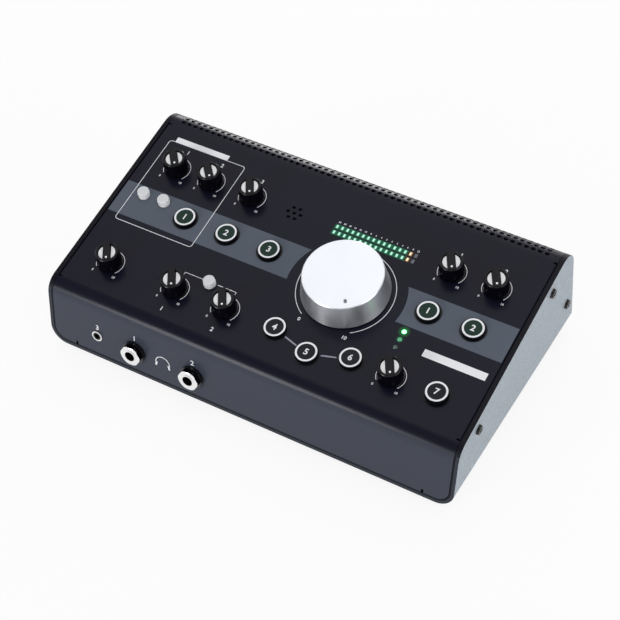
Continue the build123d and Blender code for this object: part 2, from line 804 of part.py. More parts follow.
# ---------------------------------------------------------------- small dials
knob_bore_end = knob_height - knob_roof
for name, (x, s, pointer) in dials.items():
    seat = turned(at(panel, x, s), pointer)
    with BuildPart() as knob:
        with BuildSketch(upright(seat)):
            with BuildLine():
                Polyline(
                    (0, knob_gap),
                    (knob_boss_radius, knob_gap),
                    (knob_boss_radius, knob_gap + knob_cavity_depth),
                    (knob_base_radius - knob_skirt_wall, knob_gap + knob_cavity_depth),
                    (knob_base_radius - knob_skirt_wall, knob_gap),
                    (knob_base_radius, knob_gap),
                    (knob_rim_radius, knob_height - knob_rim_chamfer),
                    (knob_rim_radius - knob_rim_chamfer, knob_height),
                    (0, knob_height),
                    close=True,
                )
            make_face()
        revolve(axis=normal_axis(seat))
        # D-shaped bore
        with BuildSketch(seat.offset(knob_gap)):
            Circle(shaft_radius)
            with Locations((0, shaft_radius)):
                Rectangle(2 * shaft_radius, 2 * shaft_flat, mode=Mode.SUBTRACT)
        extrude(amount=knob_bore_end - knob_gap, mode=Mode.SUBTRACT)
        # round pocket in the top, which the fin parts into two half-moons
        with BuildSketch(seat.offset(knob_height)):
            Circle(pocket_radius)
        extrude(amount=-pocket_depth, mode=Mode.SUBTRACT)
        # wedge fin, whose low end points
        with BuildSketch(Plane(origin=seat.origin, x_dir=seat.y_dir, z_dir=seat.x_dir)):
            with BuildLine():
                Polyline(
                    (fin_low_reach, knob_height - fin_root),
                    (fin_low_reach, knob_height + fin_low_rise),
                    (-fin_high_reach, knob_height + fin_high_rise),
                    (-fin_high_reach, knob_height - fin_root),
                    close=True,
                )
            make_face()
        extrude(amount=fin_width / 2, both=True)
        fin_top = knob.faces().sort_by(normal_axis(seat))[-1]
        across = Axis(seat.origin, seat.x_dir)
        fillet(fin_top.edges().filter_by(across, reverse=True), fin_edge_radius)
    knob.part.label = name
    export_step(knob.part, f"parts/{name}.step")

    with BuildPart() as shaft:
        with BuildSketch(seat.offset(pot_floor - board_depth)):
            Circle(shaft_radius)
        extrude(amount=board_depth - pot_floor + knob_bore_end - knob_bore_relief)
        with BuildSketch(seat.offset(knob_gap)):
            with Locations((0, shaft_radius)):
                Rectangle(2 * shaft_radius, 2 * shaft_flat)
        extrude(amount=knob_height, mode=Mode.SUBTRACT)
    shaft_name = name.replace("knob", "shaft")
    shaft.part.label = shaft_name
    export_step(shaft.part, f"parts/{shaft_name}.step")

# ---------------------------------------------------------------- volume dial
volume_seat = at(panel, volume_x, volume_s)
volume_bore_end = volume_height - volume_roof
with BuildPart() as volume_knob:
    with BuildSketch(upright(volume_seat)):
        with BuildLine():
            Polyline(
                (0, volume_boss_gap),
                (volume_boss_radius, volume_boss_gap),
                (volume_boss_radius, volume_bore_end),
                (volume_top_radius - volume_wall, volume_bore_end),
                (volume_base_radius - volume_wall, volume_gap),
                (volume_base_radius, volume_gap),
                (volume_top_radius, volume_height - volume_edge_chamfer),
                (volume_top_radius - volume_edge_chamfer, volume_height),
                (0, volume_height),
                close=True,
            )
        make_face()
    revolve(axis=normal_axis(volume_seat))
    with BuildSketch(volume_seat.offset(volume_boss_gap)):
        Circle(shaft_radius)
        with Locations((0, shaft_radius)):
            Rectangle(2 * shaft_radius, 2 * shaft_flat, mode=Mode.SUBTRACT)
    extrude(amount=volume_bore_end - volume_boss_gap, mode=Mode.SUBTRACT)
    # dimple that shows where the knob points
    with BuildSketch(volume_seat.offset(volume_height)):
        with PolarLocations(volume_mark_reach, 1, start_angle=90 - volume_mark_angle):
            Circle(volume_mark_radius)
    extrude(amount=-volume_mark_depth, mode=Mode.SUBTRACT)
volume_knob.part.label = "volume_knob"
export_step(volume_knob.part, "parts/volume_knob.step")

with BuildPart() as volume_shaft:
    with BuildSketch(volume_seat.offset(pot_floor - board_depth)):
        Circle(shaft_radius)
    extrude(amount=board_depth - pot_floor + volume_bore_end - knob_bore_relief)
    with BuildSketch(volume_seat.offset(volume_boss_gap)):
        with Locations((0, shaft_radius)):
            Rectangle(2 * shaft_radius, 2 * shaft_flat)
    extrude(amount=volume_height, mode=Mode.SUBTRACT)
volume_shaft.part.label = "volume_shaft"
export_step(volume_shaft.part, "parts/volume_shaft.step")

# ---------------------------------------------------------------- ring buttons
cap_flange_top = -(shell_thickness + bezel_flange + bezel_rest_gap)
cap_foot = cap_flange_top - cap_flange
cap_stem_end = switch_height - board_depth - stem_entry
for name, (x, s, rise) in control_buttons.items():
    seat = at(panel, x, s)
    with BuildPart() as cap:
        with BuildSketch(upright(seat)):
            with BuildLine():
                Polyline(
                    (0, cap_stem_end),
                    (cap_stem_radius, cap_stem_end),
                    (cap_stem_radius, rise - cap_roof),
                    (cap_radius - cap_wall, rise - cap_roof),
                    (cap_radius - cap_wall, cap_foot),
                    (cap_flange_radius, cap_foot),
                    (cap_flange_radius, cap_flange_top),
                    (cap_radius, cap_flange_top),
                    (cap_radius, rise),
                    (0, rise),
                    close=True,
                )
            make_face()
        revolve(axis=normal_axis(seat))
        fillet(cap.edges().group_by(normal_axis(seat))[-1], cap_edge_radius)
    cap.part.label = name
    export_step(cap.part, f"parts/{name}.step")

# ---------------------------------------------------------------- white buttons
plunger_stem_end = latch_height - board_depth - stem_entry
for name, (x, s) in latching_buttons.items():
    seat = at(panel, x, s)
    with BuildPart() as plunger:
        with BuildSketch(upright(seat)):
            with BuildLine():
                Polyline(
                    (0, plunger_stem_end),
                    (plunger_stem_radius, plunger_stem_end),
                    (plunger_stem_radius, -plunger_skirt),
                    (plunger_collar_radius, -plunger_skirt),
                    (plunger_collar_radius, plunger_collar),
                    (plunger_radius, plunger_collar),
                    (plunger_radius, plunger_height),
                    (0, plunger_height),
                    close=True,
                )
            make_face()
        revolve(axis=normal_axis(seat))
        fillet(plunger.edges().group_by(normal_axis(seat))[-1], plunger_edge_radius)
    plunger.part.label = name
    export_step(plunger.part, f"parts/{name}.step")

# ---------------------------------------------------------------- front sockets
phones_points = [(x, -socket_row_drop) for x in phones_socket_x]
aux_points = [(aux_socket_x, -socket_row_drop)]
sheet_back = front_face.offset(-shell_thickness)
with BuildPart() as headphone_jacks:
    add_blocks(sheet_back, phones_points, phones_body, phones_body, -phones_body_length)
    add_discs(sheet_back, phones_points, thread_radius, shell_thickness + phones_thread_height)
    thread_end = front_face.offset(phones_thread_height)
    bore_length = phones_thread_height + shell_thickness + phones_body_length - socket_floor
    add_discs(thread_end, phones_points, plug_radius, -bore_length, Mode.SUBTRACT)
headphone_jacks.part.label = "headphone_jacks"
export_step(headphone_jacks.part, "parts/headphone_jacks.step")

with BuildPart() as headphone_jack_collars:
    add_discs(front_face, phones_points, collar_radius, collar_height)
    add_discs(front_face, phones_points, thread_radius + thread_clearance, collar_height, Mode.SUBTRACT)
headphone_jack_collars.part.label = "headphone_jack_collars"
export_step(headphone_jack_collars.part, "parts/headphone_jack_collars.step")

with BuildPart() as headphone_jack_nuts:
    collar_top = front_face.offset(collar_height)
    add_nuts(collar_top, phones_points, phones_nut_flats, thread_radius, phones_nut_height)
headphone_jack_nuts.part.label = "headphone_jack_nuts"
export_step(headphone_jack_nuts.part, "parts/headphone_jack_nuts.step")

with BuildPart() as mini_jack:
    add_blocks(sheet_back, aux_points, aux_body, aux_body, -phones_body_length)
    add_discs(sheet_back, aux_points, aux_thread_radius, shell_thickness + aux_ring_height)
    bore_length = aux_ring_height + shell_thickness + aux_bore_depth
    add_discs(front_face.offset(aux_ring_height), aux_points, aux_plug_radius, -bore_length, Mode.SUBTRACT)
mini_jack.part.label = "mini_jack"
export_step(mini_jack.part, "parts/mini_jack.step")

with BuildPart() as mini_jack_nut:
    add_discs(front_face, aux_points, aux_ring_radius, aux_ring_height)
    add_discs(front_face, aux_points, aux_thread_radius, aux_ring_height, Mode.SUBTRACT)
mini_jack_nut.part.label = "mini_jack_nut"
export_step(mini_jack_nut.part, "parts/mini_jack_nut.step")

# ---------------------------------------------------------------- rear sockets
rear_sheet_back = rear_face.offset(-shell_thickness)
line_points = [(-x, -line_row_depth) for x in line_socket_x]
line_body_height = line_body_top + jack_board_depth - line_row_depth
with BuildPart() as line_jacks:
    body_points = [(x, y + line_body_top - line_body_height / 2) for x, y in line_points]
    add_blocks(rear_sheet_back, body_points, line_body_width, line_body_height, -line_body_length)
    add_discs(rear_sheet_back, line_points, thread_radius, shell_thickness + line_thread_height)
    bore_length = line_thread_height + shell_thickness + line_body_length - socket_floor
    add_discs(
        rear_face.offset(line_thread_height),
        line_points,
        plug_radius,
        -bore_length,
        Mode.SUBTRACT,
    )
line_jacks.part.label = "line_jacks"
export_step(line_jacks.part, "parts/line_jacks.step")

with BuildPart() as line_jack_nuts:
    add_nuts(rear_face, line_points, line_nut_flats, thread_radius, line_nut_height)
line_jack_nuts.part.label = "line_jack_nuts"
export_step(line_jack_nuts.part, "parts/line_jack_nuts.step")

combo_points = [(-x, -combo_depth) for x in combo_x]
with BuildPart() as combo_jacks:
    add_blocks(rear_sheet_back, combo_points, combo_width, combo_height, -combo_body_length)
    combo_mouth = rear_face.offset(combo_nose_rise)
    add_discs(combo_mouth, combo_points, combo_nose_radius, -combo_nose_rise - shell_thickness)
    add_discs(combo_mouth, combo_points, combo_socket_radius, -combo_socket_depth, Mode.SUBTRACT)
    insert_height = combo_socket_depth - combo_insert_recess
    socket_bottom = combo_mouth.offset(-combo_socket_depth)
    add_discs(socket_bottom, combo_points, combo_insert_radius, insert_height)
    insert_top = combo_mouth.offset(-combo_insert_recess)
    add_discs(insert_top, combo_points, plug_radius, -combo_bore_depth, Mode.SUBTRACT)
    with BuildSketch(insert_top):
        with Locations(*combo_points):
            with PolarLocations(combo_pin_circle, 3, start_angle=90):
                Circle(combo_pin_radius)
    extrude(amount=-combo_pin_depth, mode=Mode.SUBTRACT)
    add_discs(rear_face, combo_screw_points, case_screw_radius, -case_screw_length, Mode.SUBTRACT)
combo_jacks.part.label = "combo_jacks"
export_step(combo_jacks.part, "parts/combo_jacks.step")

with BuildPart() as usb_port:
    usb_points = [(-usb_x, -usb_depth)]
    usb_mouth = rear_face.offset(usb_rise)
    add_blocks(usb_mouth, usb_points, usb_width, usb_height, -usb_rise - usb_length)
    add_blocks(usb_mouth, usb_points, usb_mouth_width, usb_mouth_height, -usb_mouth_depth, Mode.SUBTRACT)
    tongue_length = usb_mouth_depth - usb_tongue_recess
    mouth_bottom = usb_mouth.offset(-usb_mouth_depth)
    add_blocks(mouth_bottom, usb_points, usb_tongue_width, usb_tongue_height, tongue_length)
usb_port.part.label = "usb_port"
export_step(usb_port.part, "parts/usb_port.step")

with BuildPart() as dc_inlet:
    dc_points = [(-dc_x, -dc_depth)]
    add_blocks(rear_sheet_back, dc_points, dc_width, dc_height, -dc_length)
    add_discs(rear_sheet_back, dc_points, dc_nose_radius, shell_thickness + dc_nose_rise)
    dc_mouth = rear_face.offset(dc_nose_rise)
    add_discs(dc_mouth, dc_points, dc_bore_radius, -dc_bore_depth, Mode.SUBTRACT)
    pin_length = dc_bore_depth - dc_nose_rise
    add_discs(dc_mouth.offset(-dc_bore_depth), dc_points, dc_pin_radius, pin_length)
dc_inlet.part.label = "dc_inlet"
export_step(dc_inlet.part, "parts/dc_inlet.step")

# ---------------------------------------------------------------- power switch
power_points = [(-power_x, -line_row_depth)]
rocker_pin = at(rear_face, *power_points[0]).offset(-rocker_pin_drop)
level_rocker = Plane(origin=rocker_pin.origin, x_dir=rear_face.y_dir, z_dir=(-1, 0, 0))
tilt = radians(rocker_tilt)
resting_rocker = Plane(
    origin=rocker_pin.origin,
    x_dir=rear_face.y_dir * cos(tilt) - rear_face.z_dir * sin(tilt),
    z_dir=(-1, 0, 0),
)
with BuildPart() as power_switch:
    rim_top = rear_face.offset(power_rim_height)
    rim_width = power_width + 2 * power_rim
    rim_length = power_height + 2 * power_rim
    add_blocks(rim_top, power_points, rim_width, rim_length, -power_rim_height)
    add_blocks(rear_face, power_points, power_width, power_height, -power_length)
    well_width = power_width - 2 * power_wall
    well_length = power_height - 2 * power_wall
    well_depth = power_rim_height + power_well
    add_blocks(rim_top, power_points, well_width, well_length, -well_depth, Mode.SUBTRACT)
    with BuildSketch(level_rocker):
        Circle(rocker_pin_radius + running_clearance)
    extrude(amount=power_width, both=True, mode=Mode.SUBTRACT)
power_switch.part.label = "power_switch"
export_step(power_switch.part, "parts/power_switch.step")

with BuildPart() as power_rocker:
    with BuildSketch(resting_rocker):
        with BuildLine():
            Polyline(
                (-rocker_half_length, rocker_end_rise),
                (0, rocker_waist_rise),
                (rocker_half_length, rocker_end_rise),
                (rocker_half_length, rocker_skirt),
                (rocker_hub_half, -rocker_hub),
                (-rocker_hub_half, -rocker_hub),
                (-rocker_half_length, rocker_skirt),
                close=True,
            )
        make_face()
    extrude(amount=well_width / 2 - rocker_clearance, both=True)
    with BuildSketch(resting_rocker):
        Circle(rocker_pin_radius)
    extrude(amount=power_width / 2 - rocker_pin_inset, both=True)
power_rocker.part.label = "power_rocker"
export_step(power_rocker.part, "parts/power_rocker.step")

# ---------------------------------------------------------------- case screws and feet
case_screw = (case_screw_radius, case_screw_length, case_screw_head_radius, case_screw_head)
right_side = Plane(origin=(case_width / 2, 0, 0), x_dir=(0, 1, 0), z_dir=(1, 0, 0))
left_side = Plane(origin=(-case_width / 2, 0, 0), x_dir=(0, -1, 0), z_dir=(-1, 0, 0))
with BuildPart() as case_screws:
    add_screws(right_side, side_screw_points(), *case_screw)
    add_screws(left_side, [(-y, z) for y, z in side_screw_points()], *case_screw)
    add_screws(rear_face, combo_screw_points, *case_screw)
case_screws.part.label = "case_screws"
export_step(case_screws.part, "parts/case_screws.step")

with BuildPart() as rubber_feet:
    foot_middle = (front_foot[0] + rear_foot[0]) / 2
    half_x = case_width / 2 - foot_inset_x
    half_y = base_depth / 2 - foot_inset_y
    foot_points = [(i * half_x, foot_middle + j * half_y) for i in (-1, 1) for j in (-1, 1)]
    underside = Plane.XY.offset(foot_height)
    add_discs(underside, foot_points, foot_radius, -foot_height, taper=foot_taper)
    add_discs(underside, foot_points, foot_stem_radius, tray_thickness)
rubber_feet.part.label = "rubber_feet"
export_step(rubber_feet.part, "parts/rubber_feet.step")
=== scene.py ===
import json
import math

import bmesh
import bpy
from bpy.props import FloatProperty, FloatVectorProperty, PointerProperty
from bpy.types import Operator, Panel, PropertyGroup
from mathutils import Matrix, Vector


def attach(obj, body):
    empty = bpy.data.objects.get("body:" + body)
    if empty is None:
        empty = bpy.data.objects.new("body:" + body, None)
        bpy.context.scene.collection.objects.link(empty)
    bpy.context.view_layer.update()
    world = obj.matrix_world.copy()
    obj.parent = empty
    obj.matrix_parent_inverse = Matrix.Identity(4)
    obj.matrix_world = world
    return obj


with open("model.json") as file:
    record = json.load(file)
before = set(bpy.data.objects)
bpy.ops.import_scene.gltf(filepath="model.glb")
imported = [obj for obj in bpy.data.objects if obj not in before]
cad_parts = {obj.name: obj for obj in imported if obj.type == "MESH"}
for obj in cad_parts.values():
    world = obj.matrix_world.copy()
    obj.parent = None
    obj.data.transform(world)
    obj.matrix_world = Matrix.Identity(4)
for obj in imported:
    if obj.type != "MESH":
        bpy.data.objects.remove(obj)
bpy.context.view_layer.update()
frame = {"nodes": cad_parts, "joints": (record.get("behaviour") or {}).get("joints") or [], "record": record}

bl_info = {
    "name": "Studio monitor controller",
    "version": (1, 0, 0),
    "blender": (4, 5, 0),
    "location": "3D View > Sidebar > Controller",
    "description": "Finishes and printed marks for a desktop studio monitor controller",
    "category": "Object",
}

MM = 0.001
JOINTS = {joint["name"]: joint for joint in frame["joints"]}
MOUNTS = {mount["name"]: mount for mount in frame["record"]["mounts"]}
NODES = frame["nodes"]


# ---------------------------------------------------------------- places, in millimetres
def face_frame(point, outward, x, y, depth=0.0):
    """Millimetres on a flat face to metres: x across, y up it and z out of it.  The point lies
    at x and y, and depth behind the face."""
    across, outward = Vector((1, 0, 0)), Vector(outward)
    up = outward.cross(across)
    origin = Vector(point) - (across * x + up * y - outward * depth) * MM
    axes = Matrix((across * MM, up * MM, outward * MM)).transposed().to_4x4()
    return Matrix.Translation(origin) @ axes


# axes of the volume knob on the panel, and of the headphone sockets on the front
VOLUME_X, VOLUME_S = 32.3, 73.5
PHONES_X, MINI_X = (-80.3, -36.8), -109.0
SOCKET_DEPTH = 8.0  # from the front face in to the point that a headphone mount gives
# the bore of a headphone socket, and how far round it the nut's face is painted bright, a painted reflection
BORE_RADIUS, NUT_PAINTED_FACE_RADIUS = 3.2, 7.2

TURN, FIRST_PHONES = JOINTS["volume_turn"], MOUNTS["headphone_bore_1"]
# the panel, the front face and the whole case, each from its millimetres to metres
PANEL = face_frame(TURN["pos_m"], TURN["axis"], VOLUME_X, VOLUME_S)
FRONT = face_frame(FIRST_PHONES["pos_m"], FIRST_PHONES["axis"], PHONES_X[0], 0.0, SOCKET_DEPTH)
CASE = Matrix.Scale(MM, 4)

SMALL_DIALS = {
    "gain_dial_1": "gain_knob_1",
    "gain_dial_2": "gain_knob_2",
    "line_trim_dial": "line_trim_knob",
    "monitor_trim_dial_a": "monitor_trim_knob_a",
    "monitor_trim_dial_b": "monitor_trim_knob_b",
    "blend_dial": "blend_knob",
    "phones_dial_1": "phones_knob_1",
    "phones_dial_2": "phones_knob_2",
    "talkback_dial": "talkback_knob",
}
DIAL_TRAVEL = 150.0  # degrees from a small dial's pointer at the back to either stop
# node: its number, and whether its middle is lit
RING_BUTTONS = {
    "source_button_1": ("1", True),
    "source_button_2": ("2", True),
    "source_button_3": ("3", True),
    "monitor_button_a": ("1", True),
    "monitor_button_b": ("2", True),
    "mono_button": ("4", False),
    "mute_button": ("5", False),
    "dim_button": ("6", False),
    "cue_button": ("7", False),
}
METER_COLUMNS, METER_PITCH, METER_S, METER_ROW_PITCH = 16, 3.75, 112.4, 4.65
AMBER_FROM, DARK_FROM = 54.8, 58.55  # x where the lit green and the amber columns end
STATUS_LAMPS, STATUS_PITCH = ((79.2, 61.4), (79.2, 55.4), (79.2, 49.4)), 6.0
GUIDE_MASK = -1.6  # below this height the light guides are masked black
PANEL_SKIN = -0.4  # below this height paint isn't on the panel's outer face
# printed band between the side grooves: its edges, and its cut round the volume knob
STRIP_LOW, STRIP_HIGH, STRIP_HALF, STRIP_CUT = 65.75, 92.0, 142.0, 39.1
# the tray's outline as its front rim shows it: half width, underside, bend and width of the painted seam
# shadow
TRAY_HALF, TRAY_FOOT, TRAY_BEND, SEAM_SHADOW_WIDTH = 146.5, 3.0, 12.0, 2.2


def spot(face, x, y, z=0.0, turn=0.0, tilt=0.0):
    """A place on a face, turned about its outward axis, then tipped about its own x."""
    place = Matrix.Translation((x, y, z)) @ Matrix.Rotation(math.radians(turn), 4, "Z")
    return face @ place @ Matrix.Rotation(math.radians(tilt), 4, "X")


def on_panel(joint):
    """X across and s up the panel of a joint's place."""
    place = PANEL.inverted() @ Vector(JOINTS[joint]["pos_m"])
    return place.x, place.y


def top_of(node):
    """X, s and height of the middle of a node's top, on the panel."""
    back = PANEL.inverted() @ NODES[node].matrix_world
    points = [back @ vertex.co for vertex in NODES[node].data.vertices]
    middle = [(min(p[i] for p in points) + max(p[i] for p in points)) / 2 for i in (0, 1)]
    return (*middle, max(p[2] for p in points))


def dial_place(body):
    """A small dial's place on the panel, its y the way that the pointer looks at rest."""
    joint = body + "_turn"
    pointer = JOINTS[joint]["range_deg"][0] + DIAL_TRAVEL
    return spot(PANEL, *on_panel(joint), 0, -pointer)


def column_x(column):
    """X of the meter's columns, counted from 0 at the left."""
    return VOLUME_X + (column - (METER_COLUMNS - 1) / 2) * METER_PITCH


def polar(radius, angle):
    """X and y at a radius and an angle, in degrees clockwise of straight up."""
    return radius * math.sin(math.radians(angle)), radius * math.cos(math.radians(angle))


# ---------------------------------------------------------------- colours and sizes to change
def linear(code):
    """An sRGB hex colour as the linear values that Blender works in."""
    values = [int(code[i:i + 2], 16) / 255 for i in (1, 3, 5)]
    bent = [v / 12.92 if v <= 0.04045 else ((v + 0.055) / 1.055) ** 2.4 for v in values]
    return (*bent, 1.0)


def colour(name, description, code):
    """A colour that a user can change, its default given in sRGB hex."""
    return FloatVectorProperty(
        name=name, description=description, subtype="COLOR", size=4, min=0, max=1,
        default=linear(code),
    )


def length(name, description, default):
    """A length in millimetres that a user can change."""
    return FloatProperty(
        name=name, description=description, default=default, min=0.0, unit="NONE"
    )


class ControllerColours(PropertyGroup):
    """Colours of the case, the controls and the print."""

    panel: colour("Panel", "Powder coat of the sloping panel and the rear", "#0F0F1F")
    # painted reflection: the front is the panel's coat, painted a tone lighter for the bright floor that it
    # mirrors
    front: colour("Front", "Powder coat of the front face", "#3B3F4B")
    strip: colour("Strip", "Printed band behind the select buttons", "#515965")
    # painted reflection: the sides' light silver-grey stands in for side light grazing their dark coat
    side: colour("Side", "Silver powder coat of the case's sides", "#9DA6AF")
    lip: colour("Lip", "Edges of the tray round the shell", "#0E0E17")
    # painted reflection: the rim is the lip's dark coat, painted a tone lighter where it faces front
    rim: colour("Rim", "Front rim of the tray, sprayed like the front face", "#343741")
    knob: colour("Knob", "Moulding of the small knobs", "#05050C")
    ink: colour("Ink", "Printed lines and numbers", "#E4E6EA")
    link: colour("Link", "Printed links between the buttons", "#8E8B9C")
    lit: colour("Lit lens", "Green lens of the level meter, alight", "#B4FFE0")
    spill: colour("Spill", "Green light that the meter throws on the paint", "#005434")
    lit_cap: colour("Lit cap", "Middle of a select button, alight", "#04241A")


class PrintSizes(PropertyGroup):
    """Sizes of the printed marks, in millimetres."""

    line: length("Line", "Width of the thin printed lines, mm", 0.42)
    link: length("Link", "Width of the links between the buttons, mm", 1.0)
    arc: length("Arc", "Radius of the scale round a small knob, mm", 9.3)
    volume_arc: length("Volume arc", "Radius of the scale round the volume knob, mm", 31.7)
    number: length("Number", "Height of a channel number, mm", 3.0)
    small_number: length("Small number", "Height of a number at a scale's end, mm", 1.7)


# ---------------------------------------------------------------- making pieces
INK_LIFT, INK_THICKNESS = 0.03, 0.04  # print stands this far off its surface, mm
ARC_STEP, LEAST_STEPS = 5.0, 6  # degrees from one division of an arc to the next
MOON_SEGMENTS, MOON_EASE = 48, 0.4  # a half-moon's corners are rounded by this, mm
MERGE_WITHIN = 1e-7  # metres


def make_piece(name, work, finish, body="case"):
    """Makes an object of a bmesh, already in metres, and says what it rides on."""
    bmesh.ops.remove_doubles(work, verts=work.verts, dist=MERGE_WITHIN)
    # ends that are shut in where two parts meet
    inner = [face for face in work.faces if all(len(edge.link_faces) > 2 for edge in face.edges)]
    bmesh.ops.delete(work, geom=inner, context="FACES_ONLY")
    bmesh.ops.recalc_face_normals(work, faces=work.faces)
    mesh = bpy.data.meshes.new(name)
    work.to_mesh(mesh)
    work.free()
    mesh.materials.append(finish)
    piece = bpy.data.objects.new(name, mesh)
    bpy.context.scene.collection.objects.link(piece)
    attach(piece, body)


def dress(finish, *nodes):
    """Puts one finish on the whole of each named node."""
    for node in nodes:
        mesh = NODES[node].data
        mesh.materials.clear()
        mesh.materials.append(finish)


def join(work, part):
    """Moves the whole of one bmesh into another."""
    mesh = bpy.data.meshes.new("part")
    part.to_mesh(mesh)
    part.free()
    work.from_mesh(mesh)
    bpy.data.meshes.remove(mesh)


def add_arc(work, place, inner, outer, start=0.0, end=360.0):
    """A flat band round the place's z axis, from start to end degrees clockwise of its y."""
    turn = Matrix.Rotation(-math.radians(start), 4, "Z")
    corners = [
        (0, inner, 0), (0, outer, 0), (0, outer, INK_THICKNESS), (0, inner, INK_THICKNESS)
    ]
    band = bmesh.new()
    section = band.faces.new([band.verts.new(turn @ Vector(corner)) for corner in corners])
    geometry = [section, *section.edges, *section.verts]
    full = end - start >= 360
    if full:
        bmesh.ops.delete(band, geom=[section], context="FACES_ONLY")
        geometry = [*band.edges, *band.verts]
    bmesh.ops.spin(
        band, geom=geometry, cent=(0, 0, 0), axis=(0, 0, -1), angle=math.radians(end - start),
        steps=max(LEAST_STEPS, int((end - start) / ARC_STEP)), use_merge=full,
    )
    bmesh.ops.transform(band, matrix=place, verts=band.verts)
    join(work, band)


def add_disc(work, place, radius, thickness, segments):
    """A round plate standing on the place's plane."""
    plate = bmesh.new()
    bmesh.ops.create_cone(
        plate, cap_ends=True, segments=segments, radius1=radius, radius2=radius,
        depth=thickness, matrix=Matrix.Translation((0, 0, thickness / 2)),
    )
    bmesh.ops.transform(plate, matrix=place, verts=plate.verts)
    join(work, plate)


def add_half_moon(work, place, radius, straight, side, thickness):
    """The part of a round plate beyond a straight edge, with eased corners."""
    half = bmesh.new()
    bmesh.ops.create_circle(half, cap_ends=True, segments=MOON_SEGMENTS, radius=radius)
    bmesh.ops.bisect_plane(
        half, geom=[*half.verts, *half.edges, *half.faces],
        plane_co=(side * straight, 0, 0), plane_no=(side, 0, 0), clear_inner=True,
    )
    corners = [vertex for vertex in half.verts if abs(vertex.co.x - side * straight) < 1e-4]
    bmesh.ops.bevel(
        half, geom=corners, offset=MOON_EASE, segments=3, affect="VERTICES", profile=0.5,
        material=-1,
    )
    raised = bmesh.ops.extrude_face_region(half, geom=half.faces[:])["geom"]
    tops = [item for item in raised if isinstance(item, bmesh.types.BMVert)]
    bmesh.ops.translate(half, verts=tops, vec=(0, 0, thickness))
    bmesh.ops.transform(half, matrix=place, verts=half.verts)
    join(work, half)


def add_bar(work, place, width, height):
    """A flat rectangle standing on the place's plane, centred on it."""
    size = Matrix.Diagonal((width, height, INK_THICKNESS, 1))
    raised = place @ Matrix.Translation((0, 0, INK_THICKNESS / 2))
    bmesh.ops.create_cube(work, size=1, matrix=raised @ size)


def add_number(work, place, text, height):
    """Plain numerals of one height, centred on the place."""
    half_depth, boldness = 0.01, 0.02
    curve = bpy.data.curves.new("numeral", "FONT")
    curve.body = text
    curve.align_x = "CENTER"
    curve.resolution_u = 3
    curve.extrude = half_depth
    curve.offset = boldness
    carrier = bpy.data.objects.new("numeral", curve)
    bpy.context.scene.collection.objects.link(carrier)
    bpy.context.view_layer.update()
    mesh = bpy.data.meshes.new_from_object(carrier)
    bpy.data.objects.remove(carrier)
    bpy.data.curves.remove(curve)
    numeral = bmesh.new()
    numeral.from_mesh(mesh)
    bpy.data.meshes.remove(mesh)
    left, low = (min(v.co[i] for v in numeral.verts) for i in (0, 1))
    right, high = (max(v.co[i] for v in numeral.verts) for i in (0, 1))
    centre = Matrix.Translation((-(left + right) / 2, -(low + high) / 2, half_depth))
    scale = height / (high - low)
    size = Matrix.Diagonal((scale, scale, INK_THICKNESS / (2 * half_depth), 1))
    bmesh.ops.transform(numeral, matrix=place @ size @ centre, verts=numeral.verts)
    join(work, numeral)


def add_scale(work, x, s, radius, line, sweep, past, reach, height):
    """A dial's scale: an arc that ends sweep degrees each side of its top, with numbers past
    its two ends, at a reach outside it."""
    place = spot(PANEL, x, s, INK_LIFT)
    add_arc(work, place, radius - line / 2, radius + line / 2, -sweep, sweep)
    for angle, text in ((-sweep - past[0], "0"), (sweep + past[1], "10")):
        dx, ds = polar(radius + reach, angle)
        add_number(work, spot(PANEL, x + dx, s + ds, INK_LIFT), text, height)


# ---------------------------------------------------------------- building materials
ABOVE, BELOW = "GREATER_THAN", "LESS_THAN"


def add_node(material, kind, inputs=(), **settings):
    """Adds a node, sets its settings, and sets or links its inputs; returns its outputs."""
    node = material.node_tree.nodes.new("ShaderNode" + kind)
    for name, value in settings.items():
        setattr(node, name, value)
    for place, value in inputs.items() if isinstance(inputs, dict) else enumerate(inputs):
        if isinstance(value, bpy.types.NodeSocket):
            material.node_tree.links.new(value, node.inputs[place])
        else:
            node.inputs[place].default_value = value
    return node.outputs


def new_finish(name, inputs):
    """A material whose shader has these inputs; returns it and the shader."""
    material = bpy.data.materials.new(name)
    material.use_nodes = True
    shader = material.node_tree.nodes["Principled BSDF"]
    for socket, value in inputs.items():
        shader.inputs[socket].default_value = value
    return material, shader


def place_of(material, face=None):
    """Object coordinates, or millimetres on a face of the case."""
    coordinates = add_node(material, "TexCoord")["Object"]
    if face is None:
        return coordinates
    back = face.inverted()
    return add_node(material, "Mapping", {
        "Vector": coordinates, "Location": back.to_translation(),
        "Rotation": back.to_euler(), "Scale": back.to_scale(),
    }, vector_type="POINT")["Vector"]


def facing(material, face):
    """How squarely a surface looks out of a face of the case, up to 1."""
    normal = add_node(material, "TexCoord")["Normal"]
    outward = face.to_3x3().col[2].normalized()
    return add_node(material, "VectorMath", (normal, outward), operation="DOT_PRODUCT")["Value"]


def grain(material, shader, size, strength, depth=0.02):
    """Fine bumps of one size and depth, in millimetres, on a shader; returns their pattern."""
    pattern = add_node(material, "TexNoise", {
        "Vector": place_of(material), "Scale": 1.0 / (size * MM), "Detail": 2.0,
    })["Fac"]
    bump = add_node(material, "Bump", {
        "Height": pattern, "Strength": strength, "Distance": depth * MM,
    })["Normal"]
    material.node_tree.links.new(bump, shader.inputs["Normal"])
    return pattern


def mask(material, *edges):
    """1 inside every edge and 0 outside any.  An edge is a value with where it is 0 and where
    it is 1, smooth between them, or a value with a test and its limit."""
    factors = []
    for value, start, end in edges:
        if start in (ABOVE, BELOW):
            outputs = add_node(material, "Math", (value, end), operation=start)
        else:
            ramp = (value, start, end)
            outputs = add_node(material, "MapRange", ramp, interpolation_type="SMOOTHSTEP")
        factors.append(outputs[0])
    product = factors[0]
    for factor in factors[1:]:
        product = add_node(material, "Math", (product, factor), operation="MULTIPLY")[0]
    return product


